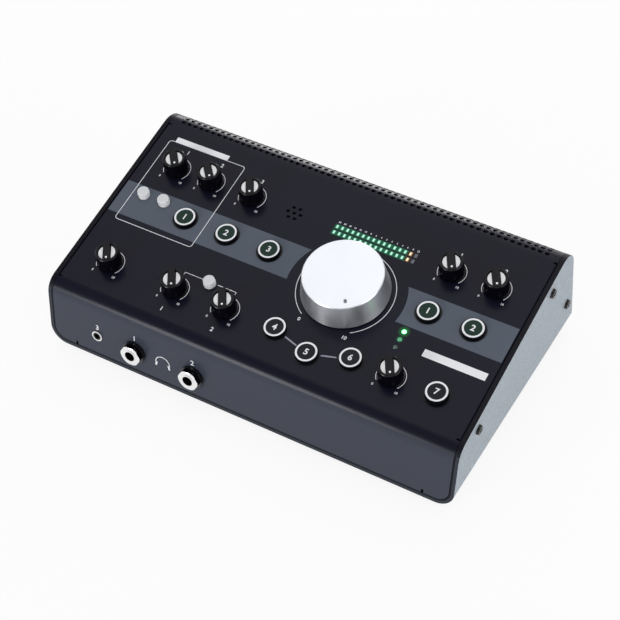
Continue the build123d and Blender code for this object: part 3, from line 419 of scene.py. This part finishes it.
def layers(material, base, *coats):
    """A base colour with others laid over it, each by its own mask."""
    for factor, coat in coats:
        inputs = {0: factor, 6: base, 7: coat}
        base = add_node(material, "Mix", inputs, data_type="RGBA")[2]
    return base


def from_middle(material, value, middle):
    """How far a value is from a middle, either way."""
    offset = add_node(material, "Math", (value, middle), operation="SUBTRACT")[0]
    return add_node(material, "Math", (offset,), operation="ABSOLUTE")[0]


def distance_to(material, x, y, centre):
    """How far a place on a face is from a centre, in millimetres."""
    squares = []
    for value, middle in zip((x, y), centre):
        offset = add_node(material, "Math", (value, middle), operation="SUBTRACT")[0]
        squares.append(add_node(material, "Math", (offset, offset), operation="MULTIPLY")[0])
    total = add_node(material, "Math", squares, operation="ADD")[0]
    return add_node(material, "Math", (total,), operation="SQRT")[0]


def meter_row(material, s):
    """How far a place on the panel is from the middle of the nearer row of the meter."""
    return from_middle(material, from_middle(material, s, METER_S), METER_ROW_PITCH / 2)


def nearest_bore(material, x, y):
    """How far a place on the front is from the axis of the nearer headphone socket."""
    reaches = [distance_to(material, x, y, (centre, 0.0)) for centre in PHONES_X]
    return add_node(material, "Math", reaches, operation="MINIMUM")[0]


# ---------------------------------------------------------------- finishes
def powder_coat(colours):
    """Satin epoxy-polyester powder coat, sprayed and baked on steel.  It flows out to a fine
    orange peel, about 0.5 mm from crest to crest, so highlights are broad and softly grained."""
    material, shader = new_finish("powder_coated_steel_black", {
        "Roughness": 0.45, "Specular IOR Level": 0.05, "Emission Strength": 1.0,
        "Coat Weight": 0.7, "Coat IOR": 1.25, "Coat Roughness": 0.22,
    })
    links = material.node_tree.links
    grain(material, shader, 0.5, 0.3, 0.05)
    links.new(shader.inputs["Normal"].links[0].from_socket, shader.inputs["Coat Normal"])
    x, s, height = add_node(material, "SeparateXYZ", (place_of(material, PANEL),))
    on_top = (height, ABOVE, PANEL_SKIN)
    # the front face is painted a tone lighter than the panel, a painted reflection of the bright floor in
    # front of it; the lighter tone begins on the front bend, as its normal's y falls
    normal = add_node(material, "TexCoord")["Normal"]
    front = mask(material, (add_node(material, "SeparateXYZ", (normal,))[1], -0.75, -0.98))
    strip = mask(
        material, on_top, (s, ABOVE, STRIP_LOW), (s, BELOW, STRIP_HIGH),
        (from_middle(material, x, 0.0), BELOW, STRIP_HALF),
        (distance_to(material, x, s, (VOLUME_X, VOLUME_S)), ABOVE, STRIP_CUT),
    )
    coat = layers(material, colours.panel, (front, colours.front), (strip, colours.strip))
    links.new(coat, shader.inputs["Base Color"])
    # light of the meter on the paint round it: how soft its left end and its changes are,
    # and how far from a row's middle it is gone and whole
    left, end, change = column_x(-0.5), 0.4, 0.2
    row = (meter_row(material, s), 2.25, 1.5)
    amber_starts = (x, AMBER_FROM - change, AMBER_FROM + change)
    amber_ends = (x, DARK_FROM + change, DARK_FROM - change)
    green_ends = (x, AMBER_FROM + change, AMBER_FROM - change)
    spills = [
        (mask(material, on_top, row, (x, left - end, left + end), green_ends), colours.spill),
        (mask(material, on_top, row, amber_starts, amber_ends), linear("#3A2408")),
    ]
    # and of the status lamps: full up to the core, and gone at the reach
    core = 0.8
    for lamp, reach, code in ((STATUS_LAMPS[0], 4.6, "#12702C"), (STATUS_LAMPS[1], 3.2, "#0B3C1C")):
        halo = (distance_to(material, x, s, lamp), reach, core)
        spills.append((mask(material, on_top, halo), linear(code)))
    links.new(layers(material, linear("#000000"), *spills), shader.inputs["Emission Color"])
    return material


def tray_coat_painted_side_sheen(colours):
    """Textured dark powder coat on bent aluminium.  Its outer side faces are painted a light silver-grey,
    speckled along a grain: a painted reflection of side light grazing the coat.  The cut edges and the lip
    keep the dark coat."""
    material, shader = new_finish("powder_coated_aluminium_silver", {
        "Roughness": 0.42, "Specular IOR Level": 0.12,
    })
    fleck = mask(material, (grain(material, shader, 1.0, 0.3, 0.06), 0.35, 0.65))
    lightest, darkest = 1.14, 0.87  # of the fleck, as shares of the sides' painted silver-grey
    light = (*(min(1.0, v * lightest) for v in colours.side[:3]), 1.0)
    dark = (*(v * darkest for v in colours.side[:3]), 1.0)
    speckle = layers(material, dark, (fleck, light))
    x, _, z = add_node(material, "SeparateXYZ", (place_of(material, CASE),))
    normal = add_node(material, "TexCoord")["Normal"]
    normal_x, normal_y, _ = add_node(material, "SeparateXYZ", (normal,))
    # an outer side face looks the way its own x lies; the lip and the inner faces don't.  Only the outer
    # faces get the painted silver-grey reflection
    least_lean, front_facing = 50.0, -0.9
    lean = add_node(material, "Math", (normal_x, x), operation="MULTIPLY")[0]
    outer = mask(material, (lean, ABOVE, least_lean))
    # the rim in front is painted a tone lighter, a painted reflection like the front face's, and is left
    # dark in a band along the shell as a painted seam shadow
    across, down = (
        add_node(material, "Math", offset, operation="SUBTRACT")[0] for offset in (
            (from_middle(material, x, 0.0), TRAY_HALF - TRAY_BEND), (TRAY_FOOT + TRAY_BEND, z)
        )
    )
    past_bend = [
        add_node(material, "Math", (side, 0.0), operation="MAXIMUM")[0] for side in (across, down)
    ]
    from_bend = distance_to(material, *past_bend, (0.0, 0.0))
    rim = mask(
        material, (normal_y, BELOW, front_facing), (from_bend, ABOVE, TRAY_BEND - SEAM_SHADOW_WIDTH)
    )
    coat = layers(material, colours.lip, (rim, colours.rim), (outer, speckle))
    material.node_tree.links.new(coat, shader.inputs["Base Color"])
    return material


def knob_moulding(colours):
    """Injection-moulded ABS from a lightly spark-eroded mould: near black, with a soft gloss."""
    material, shader = new_finish("moulded_abs_black", {
        "Base Color": colours.knob, "Roughness": 0.22, "Specular IOR Level": 0.2,
    })
    grain(material, shader, 0.35, 0.12)
    return material


def turned_aluminium(face):
    """Clear-anodised aluminium turned on a lathe: the tool marks run round the axis, drawn
    0.3 mm apart so that they show, and stretch each highlight across them."""
    material, shader = new_finish("turned_anodised_aluminium", {
        "Base Color": linear("#E7EAEF"), "Metallic": 1.0, "Roughness": 0.36,
        "Anisotropic": 0.6, "Anisotropic Rotation": 0.25,
    })
    links = material.node_tree.links
    # a wave of scale 1 repeats every 0.31 of its coordinates, here millimetres
    marks = add_node(material, "TexWave", {
        "Vector": place_of(material, face), "Scale": 1.0, "Distortion": 0.4, "Detail": 2.0,
    }, wave_type="RINGS", rings_direction="Z", wave_profile="SIN")["Fac"]
    bump = add_node(material, "Bump", {
        "Height": marks, "Strength": 0.12, "Distance": 0.03 * MM,
    })["Normal"]
    links.new(bump, shader.inputs["Normal"])
    # the marks' own direction at each place: round the knob's axis
    ends = (place_of(material), face.to_translation())
    offset = add_node(material, "VectorMath", ends, operation="SUBTRACT")[0]
    axis = face.to_3x3().col[2].normalized()
    along = add_node(material, "VectorMath", (axis, offset), operation="CROSS_PRODUCT")[0]
    turned = add_node(
        material, "VectorTransform", (along,),
        vector_type="VECTOR", convert_from="OBJECT", convert_to="WORLD",
    )[0]
    unit = add_node(material, "VectorMath", (turned,), operation="NORMALIZE")[0]
    links.new(unit, shader.inputs["Tangent"])
    return material


def plain_finish(name, code, roughness, metallic=0.0, size=0.4, strength=0.1, extra=None):
    """A moulded, plated or sprayed finish with a faint grain of its own."""
    material, shader = new_finish(name, {
        "Base Color": linear(code), "Roughness": roughness, "Metallic": metallic,
        **(extra or {}),
    })
    grain(material, shader, size, strength)
    return material


def printed_ink(name, ink):
    """Two-part screen ink: flat, faintly uneven where it was pulled through the mesh."""
    if name in bpy.data.materials:
        return bpy.data.materials[name]
    material, shader = new_finish(name, {"Base Color": ink, "Roughness": 0.5, "IOR": 1.5})
    grain(material, shader, 0.3, 0.1)
    return material


def white_with_painted_shade_top():
    """Moulded white ABS; its top, facing out of the panel, is painted a tone greyer than its near-white
    sides as painted shade.
    """
    material, shader = new_finish("moulded_abs_white", {
        "Roughness": 0.3, "Coat Weight": 0.6, "Coat Roughness": 0.1,
    })
    grain(material, shader, 0.6, 0.2, 0.03)
    # painted shade: the top a tone greyer, the sides near white
    top = mask(material, (facing(material, PANEL), 0.8, 0.98))
    shade = layers(material, linear("#FCFDFE"), (top, linear("#C9CBD0")))
    material.node_tree.links.new(shade, shader.inputs["Base Color"])
    return material


def nut_with_painted_reflection():
    """Plated panel nut with a painted reflection: its mirror front face is bright, and its flats and corners
    are painted dark for the dark surroundings that they mirror.
    """
    material, shader = new_finish("bright_faced_black_nickel", {
        "Metallic": 1.0, "Roughness": 0.12,
    })
    grain(material, shader, 1.5, 0.04)
    x, y, _ = add_node(material, "SeparateXYZ", (place_of(material, FRONT),))
    # painted reflection: the face is bright within NUT_PAINTED_FACE_RADIUS of the bore, and the flats and
    # corners are dark
    face = mask(
        material, (facing(material, FRONT), 0.3, 0.6),
        (nearest_bore(material, x, y), BELOW, NUT_PAINTED_FACE_RADIUS),
    )
    shade = layers(material, linear("#26262A"), (face, linear("#EDEDEE")))
    material.node_tree.links.new(shade, shader.inputs["Base Color"])
    return material


def plated_bush():
    """Black nylon socket body whose threaded bush, where it stands out of the front, is
    chromed: mirror bright outside its dark bore."""
    material, shader = new_finish("chromed_bush_in_nylon", {"Specular IOR Level": 0.25})
    grain(material, shader, 0.5, 0.06)
    links = material.node_tree.links
    x, y, out = add_node(material, "SeparateXYZ", (place_of(material, FRONT),))
    wall = 0.4  # of nylon round the bore
    bush = mask(
        material, (out, ABOVE, 0.0), (nearest_bore(material, x, y), ABOVE, BORE_RADIUS + wall)
    )
    shade = layers(material, linear("#08080A"), (bush, linear("#EDEDEE")))
    nylon, chrome = 0.35, 0.1
    rough = add_node(material, "MapRange", (bush, 0.0, 1.0, nylon, chrome))[0]
    links.new(shade, shader.inputs["Base Color"])
    links.new(bush, shader.inputs["Metallic"])
    links.new(rough, shader.inputs["Roughness"])
    return material


def meter_guides(colours):
    """Clear polystyrene light guides with a lamp behind each: brightest in the middle."""
    material, shader = new_finish("meter_light_guides", {
        "Base Color": linear("#20262A"), "Roughness": 0.25, "IOR": 1.59, "Emission Strength": 1.0,
    })
    x, s, height = add_node(material, "SeparateXYZ", (place_of(material, PANEL),))
    # columns stand at whole numbers and a half, counted from the middle
    offset = add_node(material, "Math", (x, VOLUME_X), operation="SUBTRACT")[0]
    column = add_node(material, "Math", (offset, METER_PITCH), operation="DIVIDE")[0]
    part = add_node(material, "Math", (column,), operation="FRACT")[0]
    share = from_middle(material, part, 0.5)
    across = add_node(material, "Math", (share, METER_PITCH), operation="MULTIPLY")[0]
    # a guide fades towards its sides and its ends
    middle = mask(material, (across, 0.88, 0.4), (meter_row(material, s), 1.45, 0.8))
    green = layers(material, linear("#046240"), (middle, colours.lit))
    amber = layers(material, linear("#8A5A1C"), (middle, linear("#FFF3C4")))
    glow = layers(
        material, green,
        (mask(material, (x, ABOVE, AMBER_FROM)), amber),
        # painted glow: the columns past DARK_FROM have no lamp alight, yet give off a flat grey
        (mask(material, (x, ABOVE, DARK_FROM)), linear("#3F444E")),
        (mask(material, (height, BELOW, GUIDE_MASK)), linear("#000000")),
    )
    material.node_tree.links.new(glow, shader.inputs["Emission Color"])
    return material


def status_guides():
    """The same guides, round: the first alight, the second dimmer, the last dark."""
    material, shader = new_finish("status_light_guides", {
        "Base Color": linear("#20262A"), "Roughness": 0.25, "IOR": 1.59, "Emission Strength": 4.0,
    })
    _, s, height = add_node(material, "SeparateXYZ", (place_of(material, PANEL),))
    first, second = (lamp[1] - STATUS_PITCH / 2 for lamp in STATUS_LAMPS[:2])
    # painted glow: the last lamp, dark, still gives off a faint green
    glow = layers(
        material, linear("#071A13"),
        (mask(material, (s, ABOVE, second)), linear("#165031")),
        (mask(material, (s, ABOVE, first)), linear("#7CF391")),
        (mask(material, (height, BELOW, GUIDE_MASK)), linear("#000000")),
    )
    material.node_tree.links.new(glow, shader.inputs["Emission Color"])
    return material


# ---------------------------------------------------------------- studio
# the camera's place in metres, and the ways that its right and its back point
CAMERA_PLACE = (0.36496, -0.64639, 0.75743)
CAMERA_RIGHT, CAMERA_BACK = (0.87043, 0.49229, -0.00055), (0.35023, -0.61847, 0.70344)
CAMERA_LENS, CAMERA_SENSOR = 92.64, 36.0
# large soft boxes: place, what they look at, size in metres, power in watts
SOFT_BOXES = {
    "key_light": ((-0.1, 0.45, 1.5), (0, 0, 0.05), 1.9, 8.8),
    "side_light": ((1.4, -0.2, 0.5), (0, 0, 0.05), 1.0, 6.0),
    "front_light": ((-0.55, -1.4, 0.32), (0, 0, 0.05), 0.5, 8.0),
    "rear_light": ((-0.55, 1.35, 0.3), (0, 0.05, 0.08), 0.6, 5.0),
}
FLOOR_HALF = 3.0  # metres
FLOOR_GLOW = 0.88  # share of the floor's brightness that no shadow takes away
# the sky's strength as light, where it is seen, and where its ceiling is mirrored
SKY_LIGHT, SKY_SEEN, SKY_CEILING = 0.5, 1.0, 0.35
CEILING_STARTS, CEILING_WHOLE = 0.15, 0.5  # heights in a sky of radius 1


def pale_floor():
    """White seamless paper: matt, and as bright as the backdrop where the camera sees it."""
    material, shader = new_finish("seamless_paper", {
        "Base Color": linear("#F4F4F4"), "Roughness": 0.9,
    })
    rays = add_node(material, "LightPath")
    seen = rays["Is Camera Ray"]
    for ray in ("Is Glossy Ray", "Is Transmission Ray"):
        seen = add_node(material, "Math", (seen, rays[ray]), operation="MAXIMUM")[0]
    part = add_node(material, "Math", (seen, FLOOR_GLOW), operation="MULTIPLY")[0]
    glow = add_node(material, "Emission", {"Color": (1, 1, 1, 1), "Strength": 1.0})[0]
    surface = add_node(material, "MixShader", (part, shader.outputs[0], glow))[0]
    output = material.node_tree.nodes["Material Output"]
    material.node_tree.links.new(surface, output.inputs["Surface"])
    return material


def light_world(scene):
    """A dim even sky for light.  What sees it finds white, and what mirrors it finds a white
    horizon under a darker ceiling, as in a studio."""
    world = bpy.data.worlds.new("studio_world")
    scene.world = world
    world.use_nodes = True
    background = world.node_tree.nodes["Background"]
    background.inputs["Color"].default_value = (1, 1, 1, 1)
    rays = add_node(world, "LightPath")
    either = (rays["Is Camera Ray"], rays["Is Transmission Ray"])
    seen = add_node(world, "Math", either, operation="MAXIMUM")[0]
    height = add_node(world, "SeparateXYZ", (add_node(world, "TexCoord")["Generated"],))[2]
    fall = (height, CEILING_STARTS, CEILING_WHOLE, SKY_SEEN, SKY_CEILING)
    ceiling = add_node(world, "MapRange", fall)[0]
    mirror = (rays["Is Glossy Ray"], 0.0, 1.0, SKY_LIGHT, ceiling)
    mirrored = add_node(world, "MapRange", mirror)[0]
    strength = add_node(world, "MapRange", (seen, 0.0, 1.0, mirrored, SKY_SEEN))[0]
    world.node_tree.links.new(strength, background.inputs["Strength"])


# ---------------------------------------------------------------- operators
class CONTROLLER_OT_stage(Operator):
    """Sets the floor, the soft studio light and the camera"""

    bl_idname = "controller.stage"
    bl_label = "Studio"

    def execute(self, context):
        scene = context.scene
        scene.view_settings.view_transform = "Standard"
        work = bmesh.new()
        bmesh.ops.create_grid(work, x_segments=1, y_segments=1, size=FLOOR_HALF)
        mesh = bpy.data.meshes.new("studio_floor")
        work.to_mesh(mesh)
        work.free()
        floor = bpy.data.objects.new("studio_floor", mesh)
        scene.collection.objects.link(floor)
        mesh.materials.append(pale_floor())
        light_world(scene)
        for name, (place, aim, size, power) in SOFT_BOXES.items():
            lamp = bpy.data.lights.new(name, "AREA")
            lamp.shape = "DISK"
            lamp.size = size
            lamp.energy = power
            holder = bpy.data.objects.new(name, lamp)
            holder.location = place
            look = Vector(aim) - Vector(place)
            holder.rotation_euler = look.to_track_quat("-Z", "Y").to_euler()
            scene.collection.objects.link(holder)
        camera = bpy.data.cameras.new("camera")
        camera.sensor_width = CAMERA_SENSOR
        camera.lens = CAMERA_LENS
        eye = bpy.data.objects.new("camera", camera)
        right, back = Vector(CAMERA_RIGHT).normalized(), Vector(CAMERA_BACK).normalized()
        turn = Matrix((right, back.cross(right), back)).transposed().to_4x4()
        eye.matrix_world = Matrix.Translation(CAMERA_PLACE) @ turn
        scene.collection.objects.link(eye)
        scene.camera = eye
        return {"FINISHED"}


class CONTROLLER_OT_case(Operator):
    """Gives the tray, the shell, the screws and the feet their finishes"""

    bl_idname = "controller.case"
    bl_label = "Case finishes"

    def execute(self, context):
        colours = context.scene.controller_colours
        dress(powder_coat(colours), "top_shell")
        dress(tray_coat_painted_side_sheen(colours), "chassis_tray")
        # blackened steel screws: oil-black oxide, a little worn to a sheen
        worn = {"Specular IOR Level": 0.4}
        dress(plain_finish("black_oxide_steel", "#0C0C0F", 0.3, extra=worn), "case_screws")
        # moulded rubber feet: dull, with a faint bloom
        rubber = plain_finish("moulded_rubber", "#1B1B1D", 0.8, size=0.6, strength=0.2)
        dress(rubber, "rubber_feet")
        return {"FINISHED"}


class CONTROLLER_OT_inside(Operator):
    """Gives the boards and what stands on them their finishes"""

    bl_idname = "controller.inside"
    bl_label = "Boards and inner parts"

    def execute(self, context):
        # glass-epoxy board under solder resist: smooth, deep green
        board = plain_finish("solder_resist_board", "#0D2A1B", 0.35, size=1.2)
        dress(board, "main_board", "jack_board", "headphone_board")
        # zinc-plated steel: bluish grey, soft sheen
        zinc = plain_finish("zinc_plated_steel", "#A9ACAE", 0.35, metallic=1.0)
        dress(zinc, "board_spacers", "board_screws", "panel_pots", "volume_pot_nut")
        dress(zinc, "volume_shaft", *(k.replace("knob", "shaft") for k in SMALL_DIALS.values()))
        # black nylon housings: matt, slightly grained
        dress(plain_finish("black_nylon", "#141417", 0.5), "panel_switches", "talkback_mic")
        return {"FINISHED"}


class CONTROLLER_OT_knobs(Operator):
    """Finishes the small knobs and lays in their white half-moons and pointer dots"""

    bl_idname = "controller.knobs"
    bl_label = "Small knobs"

    def execute(self, context):
        moulding = knob_moulding(context.scene.controller_colours)
        # white ABS inlay, second shot of the mould, flush with the knob's top
        white = plain_finish("inlaid_abs_white", "#F1F2F4", 0.32)
        moon_radius, straight, pocket_floor, moon_thickness = 5.5, 2.75, 11.0, 0.25
        # the dot lies on the pointer fin, which falls towards the rim by an angle in degrees
        dot_radius, dot_reach, dot_height, dot_thickness, fin_slope = 0.65, 4.4, 12.48, 0.06, -5.5
        for body, node in SMALL_DIALS.items():
            dress(moulding, node)
            place = dial_place(body)
            pocket = spot(place, 0, 0, pocket_floor)
            inlay = bmesh.new()
            for side in (-1, 1):
                add_half_moon(inlay, pocket, moon_radius, straight, side, moon_thickness)
            tip = spot(place, 0, dot_reach, dot_height, 0, fin_slope)
            add_disc(inlay, tip, dot_radius, dot_thickness, 20)
            make_piece(node + "_inlay", inlay, white, body)
        return {"FINISHED"}


class CONTROLLER_OT_volume(Operator):
    """Finishes the volume knob and fills its dimple"""

    bl_idname = "controller.volume"
    bl_label = "Volume knob"

    def execute(self, context):
        dress(turned_aluminium(spot(PANEL, VOLUME_X, VOLUME_S)), "volume_knob")
        # enamel run into the dimple: grey and dull against the metal
        enamel = plain_finish("grey_filler_enamel", "#6B6F74", 0.4)
        radius, reach, angle, height, thickness = 1.05, 20.4, 148.0, 19.0, 0.06
        x, y = polar(reach, angle)
        mark = bmesh.new()
        place = spot(PANEL, VOLUME_X + x, VOLUME_S + y, height)
        add_disc(mark, place, radius, thickness, 24)
        make_piece("volume_knob_mark", mark, enamel, "volume_dial")
        return {"FINISHED"}


class CONTROLLER_OT_ring_buttons(Operator):
    """Finishes the ring buttons and prints their rings and numbers"""

    bl_idname = "controller.ring_buttons"
    bl_label = "Ring buttons"

    def execute(self, context):
        colours = context.scene.controller_colours
        # moulded polycarbonate caps and collars: black, with little reflection
        dull = {"Specular IOR Level": 0.2}
        cap = plain_finish("polycarbonate_cap_black", "#0D0E17", 0.36, extra=dull)
        collar = plain_finish("moulded_collar_black", "#040406", 0.28, extra=dull)
        # smoked polycarbonate with a green lamp behind: nearly black, with a green depth
        lit = plain_finish("lit_smoked_polycarbonate", "#030806", 0.3, extra={
            "Emission Color": colours.lit_cap, "Emission Strength": 1.0, **dull,
        })
        ink = printed_ink("screen_printed_ink", colours.ink)
        dress(collar, "button_bezels")
        ring_outer, ring_inner, number_height = 6.9, 5.7, 4.4
        lift, window_thickness = 0.01, 0.02
        for node, (number, alight) in RING_BUTTONS.items():
            dress(cap, node)
            x, s, rise = top_of(node)
            place = spot(PANEL, x, s, rise + lift)
            body = node + "_cap"
            ring = bmesh.new()
            add_arc(ring, place, ring_inner, ring_outer)
            add_number(ring, spot(place, 0, 0, INK_LIFT), number, number_height)
            make_piece(node + "_ring", ring, ink, body)
            if alight:
                window = bmesh.new()
                add_disc(window, place, ring_inner, window_thickness, 48)
                make_piece(node + "_window", window, lit, body)
        return {"FINISHED"}


class CONTROLLER_OT_white_buttons(Operator):
    """Finishes the three small white buttons"""

    bl_idname = "controller.white_buttons"
    bl_label = "White buttons"

    def execute(self, context):
        dress(white_with_painted_shade_top(), "phantom_button", "stereo_button", "phones_source_button")
        return {"FINISHED"}


class CONTROLLER_OT_lamps(Operator):
    """Lights the level meter and the status lamps"""

    bl_idname = "controller.lamps"
    bl_label = "Lamps"

    def execute(self, context):
        dress(meter_guides(context.scene.controller_colours), "meter_lenses")
        dress(status_guides(), "status_lenses")
        return {"FINISHED"}


class CONTROLLER_OT_scales(Operator):
    """Prints the scales round the dials, with plain numbers"""

    bl_idname = "controller.scales"
    bl_label = "Scales"

    def execute(self, context):
        sizes = context.scene.print_sizes
        ink = printed_ink("screen_printed_ink", context.scene.controller_colours.ink)
        work = bmesh.new()
        for body in SMALL_DIALS:
            add_scale(
                work, *on_panel(body + "_turn"), sizes.arc, sizes.line,
                sweep=130.0, past=(9.0, 9.0), reach=2.9, height=sizes.small_number,
            )
        make_piece("dial_scales", work, ink)
        work = bmesh.new()
        add_scale(
            work, VOLUME_X, VOLUME_S, sizes.volume_arc, sizes.line,
            sweep=147.5, past=(4.0, 6.0), reach=3.2, height=2.6,
        )
        make_piece("volume_scale", work, ink)
        return {"FINISHED"}


class CONTROLLER_OT_lines(Operator):
    """Prints the frames, links and blank labels on the panel"""

    bl_idname = "controller.lines"
    bl_label = "Panel lines"

    def execute(self, context):
        sizes, colours = context.scene.print_sizes, context.scene.controller_colours
        line = sizes.line
        # frame round the two microphone channels
        left, right, low, high, corner = -134.0, -75.0, 61.6, 132.6, 2.0
        middle_x, middle_s = (left + right) / 2, (low + high) / 2
        across, along = right - left - 2 * corner, high - low - 2 * corner
        # bars: the middle's x and s, width and height
        bars = (
            (middle_x, low, across, line), (middle_x, high, across, line),
            (left, middle_s, line, along), (right, middle_s, line, along),
            # blank labels behind the channels and beside the status lamps
            (-109.7, 134.7, 41.0, 4.0), (117.4, 53.0, 42.0, 5.4),
            # bracket that joins the two headphone dials to their source button
            (-67.9, 42.6, line, 1.8), (-30.0, 42.6, line, 1.8),
            (-61.2, 43.5, 13.4, line), (-36.8, 43.5, 13.6, line),
        )
        work = bmesh.new()
        for x, s, width, height in bars:
            add_bar(work, spot(PANEL, x, s, INK_LIFT), width, height)
        # the frame's corners: the middle of each bend, and where its arc starts
        for x, s, start in (
            (right - corner, high - corner, 0), (right - corner, low + corner, 90),
            (left + corner, low + corner, 180), (left + corner, high - corner, 270),
        ):
            place = spot(PANEL, x, s, INK_LIFT)
            add_arc(work, place, corner - line / 2, corner + line / 2, start, start + 90)
        make_piece("panel_lines", work, printed_ink("screen_printed_ink", colours.ink))
        # links between the three buttons below the volume knob, clear of their collars
        clear = 8.9
        work = bmesh.new()
        for pair in (("mono_button", "mute_button"), ("mute_button", "dim_button")):
            start, end = (Vector(top_of(node)[:2]) for node in pair)
            run = end - start
            turn = math.degrees(math.atan2(run.y, run.x))
            place = spot(PANEL, *((start + end) / 2), INK_LIFT, turn)
            add_bar(work, place, run.length - 2 * clear, sizes.link)
        make_piece("button_links", work, printed_ink("screen_printed_ink_grey", colours.link))
        return {"FINISHED"}


class CONTROLLER_OT_numbers(Operator):
    """Prints plain channel and scale numbers, and the headphone sign on the front"""

    bl_idname = "controller.numbers"
    bl_label = "Numbers"

    def execute(self, context):
        sizes = context.scene.print_sizes
        ink = printed_ink("screen_printed_ink", context.scene.controller_colours.ink)
        work = bmesh.new()
        channels = (
            (-116.7, 127.7, "1"), (-89.9, 127.7, "2"), (-58.4, 126.8, "3"),
            (86.4, 126.9, "1"), (116.9, 126.9, "2"),
            (-67.5, 13.5, "1"), (-30.3, 13.5, "2"),
        )
        for x, s, text in channels:
            add_number(work, spot(PANEL, x, s, INK_LIFT), text, sizes.number)
        make_piece("channel_numbers", work, ink)
        # the meter's scale: a number behind each column, and a ring behind the last
        work = bmesh.new()
        scale_s, height, ring_inner, ring_outer = 118.4, 1.25, 0.5, 0.78
        for column, text in enumerate("30 24 20 16 12 10 8 6 4 2 0 2 4 6 8".split()):
            add_number(work, spot(PANEL, column_x(column), scale_s, INK_LIFT), text, height)
        ring = spot(PANEL, column_x(METER_COLUMNS - 1), scale_s, INK_LIFT)
        add_arc(work, ring, ring_inner, ring_outer)
        make_piece("meter_numbers", work, ink)
        # numbers above the front sockets
        work = bmesh.new()
        height = 3.9
        for x, up, text in ((PHONES_X[0], 10.9, "1"), (PHONES_X[1], 10.9, "2"), (MINI_X, 6.8, "3")):
            add_number(work, spot(FRONT, x, up, INK_LIFT), text, height)
        # headphone sign: a headband and two ear cups, tipped outwards
        sign_x, sign_y, band_inner, band_outer, band_end = -59.1, -0.5, 4.9, 5.5, 95.0
        cup_reach, cup_drop, cup_tip, cup_width, cup_height = 4.7, 1.6, 14.0, 1.4, 3.2
        sign = spot(FRONT, sign_x, sign_y, INK_LIFT)
        add_arc(work, sign, band_inner, band_outer, -band_end, band_end)
        for side in (-1, 1):
            cup = spot(sign, side * cup_reach, -cup_drop, 0, side * cup_tip)
            add_bar(work, cup, cup_width, cup_height)
        make_piece("socket_numbers", work, ink)
        return {"FINISHED"}


class CONTROLLER_OT_sockets(Operator):
    """Finishes the front and rear sockets and the power switch"""

    bl_idname = "controller.sockets"
    bl_label = "Sockets"

    def execute(self, context):
        # bright nickel-chrome plate on brass: mirror-like, with slight waviness from polishing
        chrome = plain_finish("chrome_plated_brass", "#EDEDEE", 0.08, 1.0, size=1.5, strength=0.04)
        dress(chrome, "mini_jack_nut", "line_jack_nuts")
        # the headphone nuts carry a painted reflection
        dress(nut_with_painted_reflection(), "headphone_jack_nuts")
        dress(plated_bush(), "headphone_jacks")
        # polished nylon: black, with clear highlights along its rim
        polish = {"Specular IOR Level": 0.8}
        polished = plain_finish("polished_nylon", "#0A0A0D", 0.16, extra=polish)
        dress(polished, "headphone_jack_collars")
        # glass-filled nylon socket bodies: black, with a soft gloss
        gloss = {"Specular IOR Level": 0.25}
        nylon = plain_finish("glass_filled_nylon", "#08080A", 0.3, extra=gloss)
        dress(nylon, "mini_jack", "line_jacks", "combo_jacks", "dc_inlet")
        dress(nylon, "power_switch", "power_rocker")
        # tin plate on a folded steel shield: pale grey, softly bright
        dress(plain_finish("tin_plated_steel", "#B5B7B9", 0.3, metallic=1.0), "usb_port")
        return {"FINISHED"}


class CONTROLLER_PT_panel(Panel):
    """Lists the operators and the colours"""

    bl_idname = "CONTROLLER_PT_panel"
    bl_label = "Studio monitor controller"
    bl_space_type = "VIEW_3D"
    bl_region_type = "UI"
    bl_category = "Controller"

    def draw(self, context):
        for group in (context.scene.controller_colours, context.scene.print_sizes):
            for name in group.__annotations__:
                self.layout.prop(group, name)
        for step in STEPS:
            self.layout.operator(step.bl_idname)


STEPS = (
    CONTROLLER_OT_stage,
    CONTROLLER_OT_case,
    CONTROLLER_OT_inside,
    CONTROLLER_OT_knobs,
    CONTROLLER_OT_volume,
    CONTROLLER_OT_ring_buttons,
    CONTROLLER_OT_white_buttons,
    CONTROLLER_OT_lamps,
    CONTROLLER_OT_scales,
    CONTROLLER_OT_lines,
    CONTROLLER_OT_numbers,
    CONTROLLER_OT_sockets,
)


def register():
    for group in (ControllerColours, PrintSizes, CONTROLLER_PT_panel, *STEPS):
        bpy.utils.register_class(group)
    bpy.types.Scene.controller_colours = PointerProperty(type=ControllerColours)
    bpy.types.Scene.print_sizes = PointerProperty(type=PrintSizes)


def unregister():
    del bpy.types.Scene.print_sizes
    del bpy.types.Scene.controller_colours
    for group in (*reversed(STEPS), CONTROLLER_PT_panel, PrintSizes, ControllerColours):
        bpy.utils.unregister_class(group)


def main():
    register()
    for step in STEPS:
        space, name = step.bl_idname.split(".")
        getattr(getattr(bpy.ops, space), name)()


if __name__ == "__main__":
    main()
